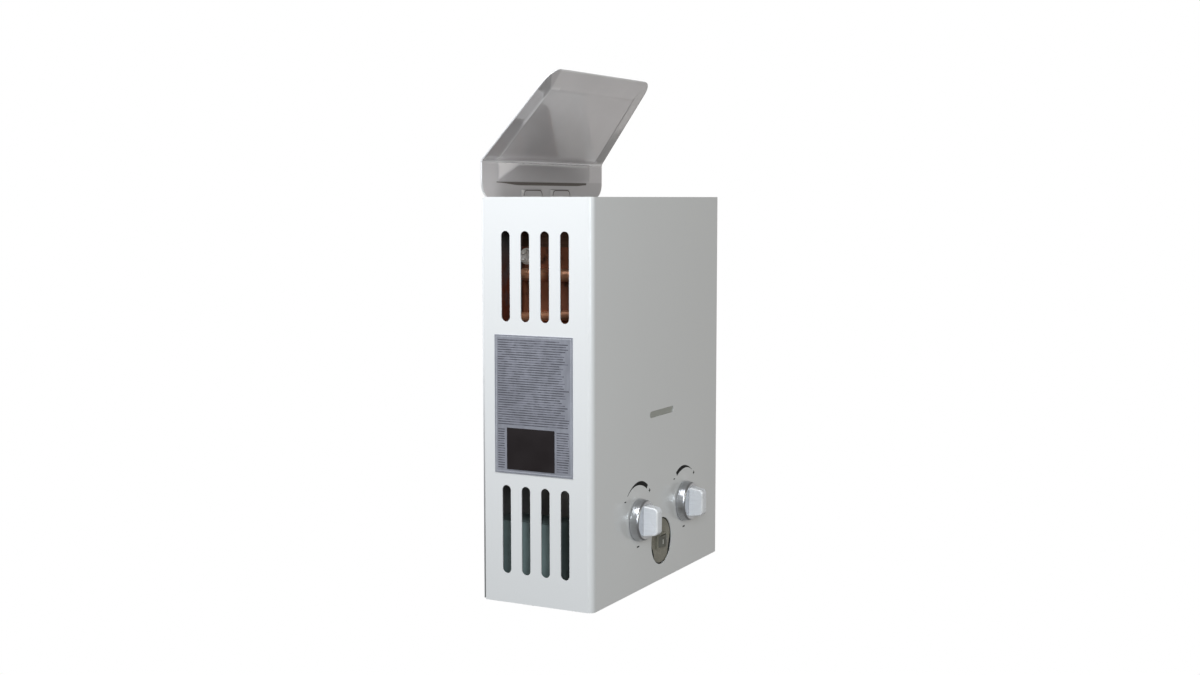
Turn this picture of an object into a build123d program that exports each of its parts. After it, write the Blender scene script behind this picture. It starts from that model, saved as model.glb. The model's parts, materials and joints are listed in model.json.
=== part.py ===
"""A flat wall-hung gas water heater for a caravan: sheet case, leaning flue deflector, burner,
copper heat exchanger and the coupled water and gas valves behind the two front knobs.

Millimetres. +Z is up and the front faces -Y. The origin is the centre of the hanging hole
on the wall plane. Places are given as x, depth (distance from the wall plane) and z.
"""

import os
from math import radians, tan

from build123d import *

# Case
case_width = 295.0
case_height = 390.0
case_depth = 120.0
case_corner = 6.5
sheet = 1.0
cover_fold = 12.0
tray_fold = 14.0
slip = 0.4
wall_shadow = 2.5
hang_drop = 30.0
hang_radius = 5.0
hang_neck = 5.2
hang_neck_height = 10.0
fixing_radius = 3.0
fixing_spacing = 150.0
fixing_rise = 22.0
cover_screw_spacing = 200.0
cover_screw_radius = 2.0
cover_screw_grip = 4.0
cover_screw_head = 2.0
cover_screw_head_radius = 4.0
floor_slot_depth = 98.0
floor_slot_length = 14.0
floor_slot_width = 4.7
floor_slot_pitch = 18.0
floor_slot_count = 12

# Side slots and the plate between them
slot_width = 9.4
slot_length = 86.0
slot_pitch = 21.3
slot_count = 4
slot_middle_depth = 58.6
upper_slot_drop = 75.0
lower_slot_drop = 318.5
plate_width = 85.0
plate_height = 133.0
plate_drop = 197.0
plate_middle_depth = 56.8
plate_thickness = 0.5
field_width = 52.0
field_height = 40.0
field_drop = 239.5
field_middle_depth = 53.8
field_thickness = 0.4

# Front controls
control_centre = 3.5
window_width = 56.0
window_height = 6.5
window_drop = 217.3
knob_spacing = 109.0
knob_drop = 318.0
knob_radius = 21.0
knob_skirt = 9.0
knob_reach = 24.0
knob_gap = 0.8
grip_width = 13.0
grip_height = 31.0
grip_corner = 3.0
knob_round = 1.2
knob_bore = 12.0
stem_radius = 4.0
stem_hole_radius = 6.0
switch_drop = 350.0
switch_hole_radius = 24.0
switch_plate_radius = 27.0
switch_plate_thickness = 1.0
groove_width = 1.3
groove_depth = 0.6
groove_bridge = 7.0
bridge_count = 3
bridge_start = 90.0
bezel_width = 21.5
bezel_height = 15.5
bezel_reach = 2.0
switch_body_width = 19.6
switch_body_height = 13.6
switch_body_depth = 24.0
rocker_radius = 8.2
rocker_height = 11.0
rocker_gap = 0.4
rocker_rise = 4.0
rocker_tilt = 11.0
rocker_pin = 1.2
window_glass = 1.5
window_margin = 7.0

# Flue outlet and the deflector over it
flue_offset = 24.0
outlet_width = 172.0
outlet_depth = 58.0
outlet_middle_depth = 49.0
outlet_corner = 6.0
deflector_foot_width = 247.0
deflector_top_width = 211.0
riser_height = 35.0
lean_length = 110.0
lean_angle = 39.0
deflector_corner = 15.0
pan_width = 182.0
pan_start = 4.0
pan_length = 84.0
pan_depth = 3.0
pan_taper = 45.0
tongue_width = 36.0
tongue_height = 7.5
tongue_spacing = 58.6
crease_width = 189.0
crease_height = 2.7
crease_rise = 12.5
crease_depth = 0.6
ramp_reach = 11.0
ramp_tip_width = 145.0
ramp_lip = 3.0
hood_clearance = 0.1
throat_z = 14.0

# Heat exchanger
shell_sheet = 0.8
shell_width = 172.0
shell_near = 20.0
shell_far = 105.0
shell_top = -12.0
shell_bottom = -140.0
pass_radius = 6.0
pass_pitch = 20.0
pass_count = 4
pass_height = -44.0
tube_fit = 0.1
bend_overhang = 18.0
fin_thickness = 0.5
fin_pitch = 6.0
fin_count = 26
fin_rise = 20.0
wrap_radius = 5.0
wrap_start_height = -74.0
wrap_pitch = 26.0
wrap_bend = 12.0
wrap_corner_count = 6
wrap_fit = 0.2
throat_overlap = 6.0
bracket_height = 14.0
bracket_width = 10.0
bracket_spacing = 120.0
thermostat_depth = 30.0
thermostat_z = -27.0
thermostat_radius = 8.0
thermostat_cap = 6.0

# Burner
burner_half_width = 80.0
burner_near = 25.0
burner_far = 100.0
burner_floor = -236.0
bar_count = 6
bar_pitch = 24.0
bar_width = 16.0
bar_top = -168.0
bar_clearance = 3.0
head_width = 12.0
head_height = 18.0
neck_width = 6.0
venturi_height = 26.0
venturi_bore = 5.5
venturi_bore_depth = 15.0
port_width = 1.2
port_depth = 4.0
port_pitch = 6.0
port_count = 10
rail_width = 10.0
manifold_depth = 108.0
manifold_rise = 14.0
manifold_radius = 5.0
manifold_length = 140.0
nozzle_radius = 3.5
nozzle_entry = 2.0
lug_width = 8.0
outlet_boss_radius = 7.0
outlet_boss_height = 10.0
electrode_height = -156.0
spark_x = 20.0
sensor_x = -60.0
sensor_rise = 6.0
sight_height = 13.0
electrode_front = 104.0
electrode_back = 92.0
electrode_tip = 78.0
electrode_wire = 0.8
electrode_flange = 12.0

# Valves
valve_depth = 73.0
rod_radius = 2.0
rod_travel = 3.0
running_fit = 0.05
gas_body_width = 56.0
gas_body_half_height = 22.0
valve_half_depth = 17.0
chamber_radius = 11.0
seat_radius = 6.0
seat_thickness = 3.0
seat_offset = 3.0
outlet_chamber_radius = 9.0
stem_boss_radius = 9.0
stem_boss_length = 12.0
stem_bore_depth = 16.0
moving_gap = 0.3
gland_flange = 13.0
gland_thickness = 2.5
plug_length = 5.0
cap_flange = 14.0
cap_thickness = 3.0
spring_radius = 7.0
spring_wall = 1.0
collar_radius = 5.0
collar_thickness = 2.0
collar_place = 14.0
plate_radius = 15.0
diaphragm_place = 43.0
cavity_radius = 20.0
cavity_depth = 9.0
cover_neck_radius = 7.0
cover_neck_length = 10.0
water_body_reach = 36.0
water_half_height = 18.0
screw_head_radius = 3.5
screw_head_height = 3.0
switch_drop_height = 10.0
switch_place = 4.0
switch_length = 17.0
switch_before = 7.0
switch_behind = 8.5
lever_side_gap = 1.0
lever_width = 3.0
lever_thickness = 0.5
lever_length = 12.2
lever_eye = 1.6
lever_gap = 0.2
lever_pin = 0.8
ear_thickness = 1.1
disc_radius = 9.0
disc_thickness = 3.0
diaphragm_radius = 32.0
diaphragm_thickness = 1.5
flange_thickness = 12.0
screw_circle = 28.5
valve_screw_count = 6
screw_radius = 2.0

# Pipes and their fittings
pipe_radius = 6.0
thread_radius = 10.48
thread_length = 18.0
thread_bore = 7.0
thread_bore_depth = 12.0
neck_radius = 10.0
fitting_neck = 4.0
hex_radius = 15.0
hex_height = 8.0
fitting_clearance = 0.5
water_inlet_place = 22.0
hot_outlet_place = 35.0
hot_pipe_drop = 40.0
drain_place = 13.0
drain_shank_radius = 6.0
drain_head_radius = 8.0
drain_head_height = 14.0
drain_reach = 4.0
gas_pipe_offset = 16.0
gas_pipe_bend = 8.0
gas_pipe_rise = 16.0
cold_pipe_rise = 24.0

# Battery box, igniter and leads
box_valve_gap = 10.0
box_wall = 1.8
cell_radius = 16.4
cell_height = 60.0
cell_gap = 0.2
cell_slack = 1.3
cell_cap_radius = 3.5
cell_cap_height = 2.0
door_thickness = 2.0
door_gap = 0.5
door_pin = 0.8
contact_radius = 4.0
contact_height = 8.7
igniter_side_gap = 15.5
igniter_pipe_gap = 3.0
igniter_far = 42.0
igniter_top = -165.0
igniter_height = 62.0
electrode_radius = 3.5
lead_radius = 1.5
lead_bend = 6.0
lead_front = 112.0
lead_step = 8.0
lead_drop = 16.0

# Derived planes of the case
case_top = hang_drop
case_bottom = case_top - case_height
roof_face = case_top - sheet
floor_face = case_bottom + sheet
tray_top = roof_face - sheet
tray_bottom = floor_face + sheet
panel_half = case_width / 2 - sheet - slip
inside_face = case_depth - sheet
flue_x = -flue_offset
shell_left = flue_x - shell_width / 2
shell_right = flue_x + shell_width / 2
wrap_gap = wrap_radius + wrap_fit
shell_corner = wrap_bend - wrap_gap
knob_z = case_top - knob_drop
gas_x = control_centre - knob_spacing / 2
water_knob_x = control_centre + knob_spacing / 2
switch_z = case_top - switch_drop
fold_z = case_top + riser_height
window_z = case_top - window_drop
fixing_z = case_bottom + fixing_rise
manifold_height = burner_floor + manifold_rise
gas_left = gas_x - gas_body_width / 2
gas_right = gas_x + gas_body_width / 2
gas_top = knob_z + gas_body_half_height
valve_near = valve_depth - valve_half_depth
valve_far = valve_depth + valve_half_depth
knob_near = case_depth + knob_gap
fitting_depth = valve_depth
hex_top = tray_bottom + hex_height
disc_right = gas_x + seat_offset - moving_gap
collar_x = gas_right + collar_place
diaphragm_x = gas_right + diaphragm_place
water_flange_left = diaphragm_x + diaphragm_thickness
water_body_right = water_knob_x + water_body_reach
water_x = water_knob_x + water_inlet_place
drain_x = water_knob_x - drain_place
hot_x = water_x + hot_outlet_place
column_x = shell_right + bend_overhang - running_fit
switch_left = gas_right + switch_place
switch_right = switch_left + switch_length
switch_near = valve_depth - switch_before
switch_far = valve_depth + switch_behind
lever_near = valve_depth + rod_radius + lever_side_gap
lever_right = collar_x - moving_gap
cell_bottom = floor_face + door_thickness + moving_gap
cell_top = cell_bottom + cell_height
box_right = gas_left - cap_thickness - box_valve_gap
box_left = box_right - 2 * (box_wall + cell_radius + cell_slack)
box_near = sheet
box_far = box_near + 2 * box_wall + 4 * (cell_radius + cell_gap)
box_top = cell_top + cell_cap_height + cell_gap + contact_height + box_wall
box_x = (box_left + box_right) / 2
igniter_right = case_width / 2 - igniter_side_gap
igniter_left = column_x + wrap_radius + igniter_pipe_gap


def at(x, depth, z):
    """A point from its place across, its distance from the wall and its height."""
    return (x, -depth, z)


def block(x, depth, z, mode=Mode.ADD):
    """A box between two limits each way."""
    centre = at((x[0] + x[1]) / 2, (depth[0] + depth[1]) / 2, (z[0] + z[1]) / 2)
    with Locations(centre):
        Box(x[1] - x[0], depth[1] - depth[0], z[1] - z[0], mode=mode)


def bar(start, end, radius, mode=Mode.ADD):
    """A round bar from one point to another."""
    axis = Vector(*end) - Vector(*start)
    with BuildSketch(Plane(origin=start, z_dir=axis)) as section:
        Circle(radius)
    extrude(section.sketch, amount=axis.length, mode=mode)


def hexagon(start, end, radius):
    """A hexagonal bar from one point to another."""
    axis = Vector(*end) - Vector(*start)
    with BuildSketch(Plane(origin=start, z_dir=axis)) as section:
        RegularPolygon(radius, 6)
    extrude(section.sketch, amount=axis.length)


def tube(points, radius, bend):
    """A round tube along straight runs joined by arcs of one radius."""
    with BuildLine() as route:
        FilletPolyline(*points, radius=bend)
    with BuildSketch(Plane(origin=route.line @ 0, z_dir=route.line % 0)) as section:
        Circle(radius)
    sweep(section.sketch, path=route.line)


def keep(name, piece):
    """Labels a finished piece and writes it under its own name."""
    piece.part.label = name
    export_step(piece.part, f"parts/{name}.step")


def cover_plan(height, inset, rear):
    """The cover's plan at a height, inset from its outside, with its front corners rounded."""
    length = case_depth - inset - rear
    with BuildSketch(Plane.XY.offset(height)) as plan:
        with Locations((0, -(rear + length / 2))):
            Rectangle(case_width - 2 * inset, length)
        fillet(plan.vertices().group_by(Axis.Y)[0], case_corner - inset)
    return plan.sketch


os.makedirs("parts", exist_ok=True)


# Case

def make_front_cover():
    """The cover: front and both sides bent from one sheet, folded inwards above and below."""
    with BuildPart() as front_cover:
        extrude(cover_plan(case_bottom, 0, wall_shadow), amount=case_height)
        inside = cover_plan(floor_face, sheet, 0)
        extrude(inside, amount=case_height - 2 * sheet, mode=Mode.SUBTRACT)
        block(
            (-case_width / 2 + cover_fold, case_width / 2 - cover_fold),
            (0, case_depth - cover_fold),
            (case_bottom, case_top),
            Mode.SUBTRACT,
        )
        # Air slots in both sides
        with BuildSketch(Plane.YZ.offset(-case_width / 2)):
            for drop in (upper_slot_drop, lower_slot_drop):
                with Locations((-slot_middle_depth, case_top - drop)):
                    with GridLocations(slot_pitch, 0, slot_count, 1):
                        SlotOverall(slot_length, slot_width, rotation=90)
        extrude(amount=case_width, mode=Mode.SUBTRACT)
        # Viewing slot, knob stems and the round switch hole
        with BuildSketch(Plane.XZ.offset(inside_face - case_corner)):
            with Locations((control_centre, case_top - window_drop)):
                SlotOverall(window_width, window_height)
            with Locations((control_centre, knob_z)):
                with GridLocations(knob_spacing, 0, 2, 1):
                    Circle(stem_hole_radius)
            with Locations((control_centre, switch_z)):
                Circle(switch_hole_radius)
        extrude(amount=case_corner + sheet, mode=Mode.SUBTRACT)
        # Screw holes in the bottom fold
        with BuildSketch(Plane.XY.offset(case_bottom)):
            with Locations((0, -(case_depth - cover_fold / 2))):
                with GridLocations(cover_screw_spacing, 0, 2, 1):
                    Circle(cover_screw_radius + slip)
        extrude(amount=sheet, mode=Mode.SUBTRACT)
    keep("front_cover", front_cover)


def make_back_plate():
    """The wall plate: a shallow tray with the hanging keyhole and two lower fixing holes."""
    with BuildPart() as back_plate:
        block((-panel_half, panel_half), (0, sheet), (tray_bottom, tray_top))
        block((-panel_half, -panel_half + sheet), (0, tray_fold), (tray_bottom, tray_top))
        block((panel_half - sheet, panel_half), (0, tray_fold), (tray_bottom, tray_top))
        block((-panel_half, panel_half), (0, tray_fold), (tray_top - sheet, tray_top))
        block((-panel_half, panel_half), (0, tray_fold), (tray_bottom, tray_bottom + sheet))
        block(
            (box_left, box_right),
            (box_near, tray_fold),
            (tray_bottom, tray_bottom + sheet),
            Mode.SUBTRACT,
        )
        with BuildSketch(Plane.XZ):
            Circle(hang_radius)
            with Locations((0, hang_neck_height / 2)):
                Rectangle(hang_neck, hang_neck_height)
            with Locations((0, fixing_z)):
                with GridLocations(fixing_spacing, 0, 2, 1):
                    Circle(fixing_radius)
        extrude(amount=sheet, mode=Mode.SUBTRACT)
    keep("back_plate", back_plate)


def make_top_panel():
    """The roof, with the flue outlet and two tongues that the deflector's foot stands behind."""
    with BuildPart() as top_panel:
        extrude(cover_plan(tray_top, sheet + slip, 0), amount=sheet)
        with BuildSketch(Plane.XY.offset(tray_top)):
            with Locations((flue_x, -outlet_middle_depth)):
                RectangleRounded(outlet_width, outlet_depth, outlet_corner)
        extrude(amount=sheet, mode=Mode.SUBTRACT)
        with BuildSketch(Plane.XZ.offset(sheet)) as tongues:
            with Locations((flue_x, roof_face + tongue_height / 2)):
                with GridLocations(tongue_spacing, 0, 2, 1):
                    Rectangle(tongue_width, tongue_height)
            fillet(tongues.vertices().group_by(Axis.Y)[-1], tongue_height / 2)
        extrude(amount=sheet)
    keep("top_panel", top_panel)


def make_bottom_panel():
    """The floor, with a hole for each fitting, the drain plug and the battery door."""
    with BuildPart() as bottom_panel:
        extrude(cover_plan(floor_face, sheet + slip, 0), amount=sheet)
        with BuildSketch(Plane.XY.offset(floor_face)):
            for x in (hot_x, gas_x, water_x):
                with Locations((x, -fitting_depth)):
                    Circle(neck_radius + fitting_clearance)
            with Locations((drain_x, -fitting_depth)):
                Circle(drain_head_radius + fitting_clearance)
            with Locations(((box_left + box_right) / 2, -(box_near + box_far) / 2)):
                Rectangle(box_right - box_left, box_far - box_near)
            with Locations((0, -(case_depth - cover_fold / 2))):
                with GridLocations(cover_screw_spacing, 0, 2, 1):
                    Circle(cover_screw_radius)
        extrude(amount=sheet, mode=Mode.SUBTRACT)
        # Air slots under the burner
        with BuildSketch(Plane.XY.offset(floor_face)):
            with Locations((0, -floor_slot_depth)):
                with GridLocations(floor_slot_pitch, 0, floor_slot_count, 1):
                    SlotOverall(floor_slot_length, floor_slot_width)
        extrude(amount=sheet, mode=Mode.SUBTRACT)
    keep("bottom_panel", bottom_panel)


def make_cover_screws():
    """Two pan-head screws that go up through the cover's bottom fold."""
    with BuildPart() as cover_screws:
        for side in (-1, 1):
            x = side * cover_screw_spacing / 2
            depth = case_depth - cover_fold / 2
            head = case_bottom - cover_screw_head
            tip = tray_bottom + cover_screw_grip
            bar(at(x, depth, head), at(x, depth, case_bottom), cover_screw_head_radius)
            bar(at(x, depth, case_bottom), at(x, depth, tip), cover_screw_radius)
    keep("cover_screws", cover_screws)


def make_side_plates():
    """The bare silver plate on the left side and the dark field on it."""
    side = Plane.YZ.offset(-case_width / 2)
    with BuildPart() as data_plate:
        with BuildSketch(side):
            with Locations((-plate_middle_depth, case_top - plate_drop)):
                Rectangle(plate_width, plate_height)
        extrude(amount=-plate_thickness)
    keep("data_plate", data_plate)
    with BuildPart() as data_plate_field:
        with BuildSketch(side.offset(-plate_thickness)):
            with Locations((-field_middle_depth, case_top - field_drop)):
                Rectangle(field_width, field_height)
        extrude(amount=-field_thickness)
    keep("data_plate_field", data_plate_field)


# Flue deflector

def make_flue_deflector():
    """The deflector: a riser on the roof, folded forwards, with a pressed pan and a ramp."""
    lean = Plane(
        origin=(flue_x, 0, fold_z),
        x_dir=(1, 0, 0),
        z_dir=Vector(0, -1, 0).rotate(Axis.X, lean_angle),
    )
    with BuildPart() as flue_deflector:
        with BuildSketch(Plane.XZ) as riser:
            with Locations((flue_x, (roof_face + fold_z) / 2)):
                Rectangle(deflector_foot_width, fold_z - roof_face)
            fillet(riser.vertices().group_by(Axis.Y)[0], deflector_corner)
        extrude(amount=sheet)
        with BuildSketch(lean) as plate:
            with BuildLine():
                Polyline(
                    (-deflector_foot_width / 2, 0),
                    (deflector_foot_width / 2, 0),
                    (deflector_top_width / 2, lean_length),
                    (-deflector_top_width / 2, lean_length),
                    close=True,
                )
            make_face()
            fillet(plate.vertices().group_by(Axis.Y)[-1], deflector_corner)
        extrude(amount=sheet)
        # The pan pressed into the leaning plate
        for back, mode in ((0, Mode.ADD), (sheet, Mode.SUBTRACT)):
            with BuildSketch(lean.offset(sheet - back)):
                with Locations((0, pan_start + pan_length / 2)):
                    Rectangle(pan_width, pan_length)
            extrude(amount=pan_depth, taper=pan_taper, mode=mode)
        # The ramp pressed into the riser, above its long groove
        low = case_top + crease_rise + crease_height
        for back, mode in ((0, Mode.ADD), (sheet, Mode.SUBTRACT)):
            high = fold_z - sheet - back
            with BuildSketch(Plane.XZ.offset(sheet - back)):
                with Locations((flue_x, (low + high) / 2)):
                    Rectangle(crease_width, high - low)
            with BuildSketch(Plane.XZ.offset(sheet - back + ramp_reach)):
                with Locations((flue_x, high - (ramp_lip - back) / 2)):
                    Rectangle(ramp_tip_width, ramp_lip - back)
            loft(ruled=True, mode=mode)
        with BuildSketch(Plane.XZ.offset(sheet - crease_depth)):
            with Locations((flue_x, case_top + crease_rise + crease_height / 2)):
                SlotOverall(crease_width, crease_height)
        extrude(amount=crease_depth, mode=Mode.SUBTRACT)
    keep("flue_deflector", flue_deflector)


def make_smoke_hood():
    """The smoke hood: a sleeve on the exchanger that narrows to the outlet in the roof."""
    with BuildPart() as smoke_hood:
        for shrink, mode in ((0, Mode.ADD), (shell_sheet, Mode.SUBTRACT)):
            reach = hood_clearance + shell_sheet - shrink
            sleeve = (shell_width + 2 * reach, shell_far - shell_near + 2 * reach)
            inset = hood_clearance + shrink
            mouth = (outlet_width - 2 * inset, outlet_depth - 2 * inset)
            sleeve_place = (flue_x, -(shell_near + shell_far) / 2)
            mouth_place = (flue_x, -outlet_middle_depth)
            with BuildSketch(Plane.XY.offset(shell_top - throat_overlap)):
                with Locations(sleeve_place):
                    RectangleRounded(*sleeve, shell_corner + reach)
            extrude(amount=throat_overlap + sheet, mode=mode)
            with BuildSketch(Plane.XY.offset(shell_top + sheet)):
                with Locations(sleeve_place):
                    RectangleRounded(*sleeve, shell_corner + reach)
            with BuildSketch(Plane.XY.offset(throat_z)):
                with Locations(mouth_place):
                    RectangleRounded(*mouth, outlet_corner - inset)
            loft(ruled=True, mode=mode)
            with BuildSketch(Plane.XY.offset(throat_z)):
                with Locations(mouth_place):
                    RectangleRounded(*mouth, outlet_corner - inset)
            extrude(amount=case_top - throat_z, mode=mode)
    keep("smoke_hood", smoke_hood)


# Heat exchanger

def pass_depths():
    """How far from the wall each pass of the water tube lies, the furthest first."""
    middle = (shell_near + shell_far) / 2
    half = (pass_count - 1) / 2
    return [middle + (half - i) * pass_pitch for i in range(pass_count)]


def make_exchanger():
    """The copper shell, its fins and the water tube that winds through both."""
    with BuildPart() as exchanger_shell:
        with BuildSketch(Plane.XY.offset(shell_bottom)):
            with Locations((flue_x, -(shell_near + shell_far) / 2)):
                width = shell_width
                length = shell_far - shell_near
                RectangleRounded(width, length, shell_corner)
                width -= 2 * shell_sheet
                length -= 2 * shell_sheet
                RectangleRounded(width, length, shell_corner - shell_sheet, mode=Mode.SUBTRACT)
        extrude(amount=shell_top - shell_bottom)
        for depth in pass_depths():
            start = at(shell_left, depth, pass_height)
            bar(start, at(shell_right, depth, pass_height), pass_radius + tube_fit, Mode.SUBTRACT)
    keep("exchanger_shell", exchanger_shell)

    with BuildPart() as exchanger_fins:
        near = shell_near + shell_sheet + running_fit
        far = shell_far - shell_sheet - running_fit
        for i in range(fin_count):
            x = flue_x + (i - (fin_count - 1) / 2) * fin_pitch
            limits = (x - fin_thickness / 2, x + fin_thickness / 2)
            block(limits, (near, far), (pass_height - fin_rise, pass_height + fin_rise))
        for depth in pass_depths():
            start = at(shell_left, depth, pass_height)
            bar(start, at(shell_right, depth, pass_height), pass_radius + tube_fit, Mode.SUBTRACT)
    keep("exchanger_fins", exchanger_fins)

    left = shell_left - bend_overhang
    right = shell_right + bend_overhang
    depths = pass_depths()
    points = [at(right, depths[0], pass_height)]
    for i, depth in enumerate(depths):
        end = left if i % 2 == 0 else right
        points.append(at(end, depth, pass_height))
        if i + 1 < pass_count:
            points.append(at(end, depths[i + 1], pass_height))
    with BuildPart() as exchanger_tube:
        tube(points, pass_radius, pass_pitch / 2 - tube_fit)
    keep("exchanger_tube", exchanger_tube)


def wrap_points():
    """The corners of the cold tube that winds round the shell, from the top down."""
    left = shell_left - wrap_gap
    right = shell_right + wrap_gap
    near = shell_near - wrap_gap
    far = shell_far + wrap_gap
    depth = pass_depths()[0]
    start = shell_right + bend_overhang
    outer = start + 2 * wrap_bend
    corners = [(left, far), (left, near), (right, near), (right, far)]
    points = [at(start, depth, pass_height), at(outer, depth, pass_height)]
    points.append(at(outer, far, wrap_start_height))
    for i in range(wrap_corner_count):
        x, corner_depth = corners[i % len(corners)]
        points.append(at(x, corner_depth, wrap_start_height - wrap_pitch * (i + 1) / len(corners)))
    height = wrap_start_height - wrap_pitch * (wrap_corner_count + 1) / len(corners)
    return points + [at(column_x, near, height), at(column_x, near, height - 2 * wrap_bend)]


def make_wrap_coil():
    """The cold water tube round the shell, which keeps the combustion chamber cool."""
    with BuildPart() as wrap_coil:
        tube(wrap_points(), wrap_radius, wrap_bend)
    keep("wrap_coil", wrap_coil)


def make_exchanger_brackets():
    """Four angle brackets that hold the shell off the wall plate."""
    with BuildPart() as exchanger_brackets:
        for side in (-1, 1):
            x = flue_x + side * bracket_spacing / 2
            for low in (shell_bottom, pass_height - bracket_height):
                z = (low, low + bracket_height)
                block((x - sheet / 2, x + sheet / 2), (sheet, shell_near), z)
                half = bracket_width / 2
                block((x - half, x + half), (sheet, 2 * sheet), z)
                block((x - half, x + half), (shell_near - sheet, shell_near), z)
    keep("exchanger_brackets", exchanger_brackets)


def make_thermostat():
    """The overheat thermostat: a disc on the shell's left wall, with two flat terminals."""
    cap_left = shell_left - thermostat_cap
    with BuildPart() as overheat_thermostat:
        start = at(shell_left, thermostat_depth, thermostat_z)
        rim = at(shell_left - thermostat_cap / 2, thermostat_depth, thermostat_z)
        bar(start, rim, thermostat_radius)
        bar(rim, at(cap_left, thermostat_depth, thermostat_z), thermostat_cap)
        for side in (-1, 1):
            z = thermostat_z + side * thermostat_cap / 2
            block(
                (cap_left - thermostat_cap, cap_left),
                (thermostat_depth - 2 * sheet, thermostat_depth + 2 * sheet),
                (z - shell_sheet / 2, z + shell_sheet / 2),
            )
    keep("overheat_thermostat", overheat_thermostat)


# Burner

def bar_places():
    """Where each burner bar stands across the heater."""
    return [flue_x + (i - (bar_count - 1) / 2) * bar_pitch for i in range(bar_count)]


def make_burner_frame():
    """The burner's frame: four walls under the shell and two rails that the bars stand on."""
    left = flue_x - burner_half_width
    right = flue_x + burner_half_width
    with BuildPart() as burner_frame:
        block((left, right), (burner_near, burner_far), (burner_floor - sheet, shell_bottom))
        block(
            (left + shell_sheet, right - shell_sheet),
            (burner_near + shell_sheet, burner_far - shell_sheet),
            (burner_floor - sheet, shell_bottom),
            Mode.SUBTRACT,
        )
        for edge in (burner_near, burner_far - rail_width):
            block((left, right), (edge, edge + rail_width), (burner_floor - sheet, burner_floor))
        with BuildSketch(Plane.XZ.offset(burner_far - shell_sheet)):
            for x in bar_places():
                with Locations((x, manifold_height)):
                    Circle(nozzle_radius + shell_sheet)
            with Locations((spark_x, electrode_height)):
                Circle(electrode_radius + hood_clearance)
            with Locations((sensor_x, electrode_height + sensor_rise)):
                Circle(electrode_radius + hood_clearance)
            with Locations((control_centre, window_z)):
                SlotOverall(window_width, sight_height)
        extrude(amount=shell_sheet, mode=Mode.SUBTRACT)
    keep("burner_frame", burner_frame)


def make_burner_bars():
    """The burner bars: venturi below, thin neck, and a head with cross slots for the flames."""
    depth = (burner_near + bar_clearance, burner_far - bar_clearance)
    neck_bottom = burner_floor + venturi_height
    head_bottom = bar_top - head_height
    for number, x in enumerate(bar_places(), start=1):
        with BuildPart() as burner_bar:
            block((x - bar_width / 2, x + bar_width / 2), depth, (burner_floor, neck_bottom))
            block((x - neck_width / 2, x + neck_width / 2), depth, (neck_bottom, head_bottom))
            block((x - head_width / 2, x + head_width / 2), depth, (head_bottom, bar_top))
            inlet = at(x, depth[1], manifold_height)
            bar(
                inlet,
                at(x, depth[1] - venturi_bore_depth, manifold_height),
                venturi_bore,
                Mode.SUBTRACT,
            )
            with BuildSketch(Plane.XY.offset(bar_top - port_depth)):
                with Locations((x, -(depth[0] + depth[1]) / 2)):
                    with GridLocations(0, port_pitch, 1, port_count):
                        Rectangle(head_width - 2 * sheet, port_width)
            extrude(amount=port_depth, mode=Mode.SUBTRACT)
        keep(f"burner_bar_{number}", burner_bar)


def make_manifold():
    """The gas rail in front of the bars, with a nozzle for each and a lug at each end."""
    half = manifold_length / 2
    lug = (manifold_height - manifold_radius, manifold_height + manifold_radius)
    with BuildPart() as gas_manifold:
        left = at(flue_x - half, manifold_depth, manifold_height)
        bar(left, at(flue_x + half, manifold_depth, manifold_height), manifold_radius)
        for x in bar_places():
            tip = at(x, burner_far - bar_clearance - nozzle_entry, manifold_height)
            bar(at(x, manifold_depth, manifold_height), tip, nozzle_radius)
        for x in (flue_x - half, flue_x + half - lug_width):
            block((x, x + lug_width), (burner_far, manifold_depth), lug)
        boss = at(gas_x + gas_pipe_offset, manifold_depth, manifold_height)
        bar(boss, (boss[0], boss[1], manifold_height - outlet_boss_height), outlet_boss_radius)
    keep("gas_manifold", gas_manifold)


def make_electrode(name, x, z):
    """A ceramic rod held by a flange on the burner's front, with a wire tip over the bars."""
    with BuildPart() as electrode:
        bar(at(x, electrode_back, z), at(x, electrode_front, z), electrode_radius)
        bar(at(x, electrode_tip, z), at(x, electrode_back, z), electrode_wire)
        half = electrode_flange / 2
        block((x - half, x + half), (burner_far, burner_far + sheet), (z - half, z + half))
    keep(name, electrode)


# Valves

def stem_boss(x):
    """A boss on a valve's front with a bore for the knob's stem."""
    tip = at(x, valve_far + stem_boss_length, knob_z)
    bar(at(x, valve_far, knob_z), tip, stem_boss_radius)
    bore_end = at(x, valve_far + stem_boss_length - stem_bore_depth, knob_z)
    bar(tip, bore_end, stem_radius + running_fit, Mode.SUBTRACT)


def axis_bar(start, end, radius, mode=Mode.ADD):
    """A round bar along the axis that the two valves share."""
    bar(at(start, valve_depth, knob_z), at(end, valve_depth, knob_z), radius, mode)


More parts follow.
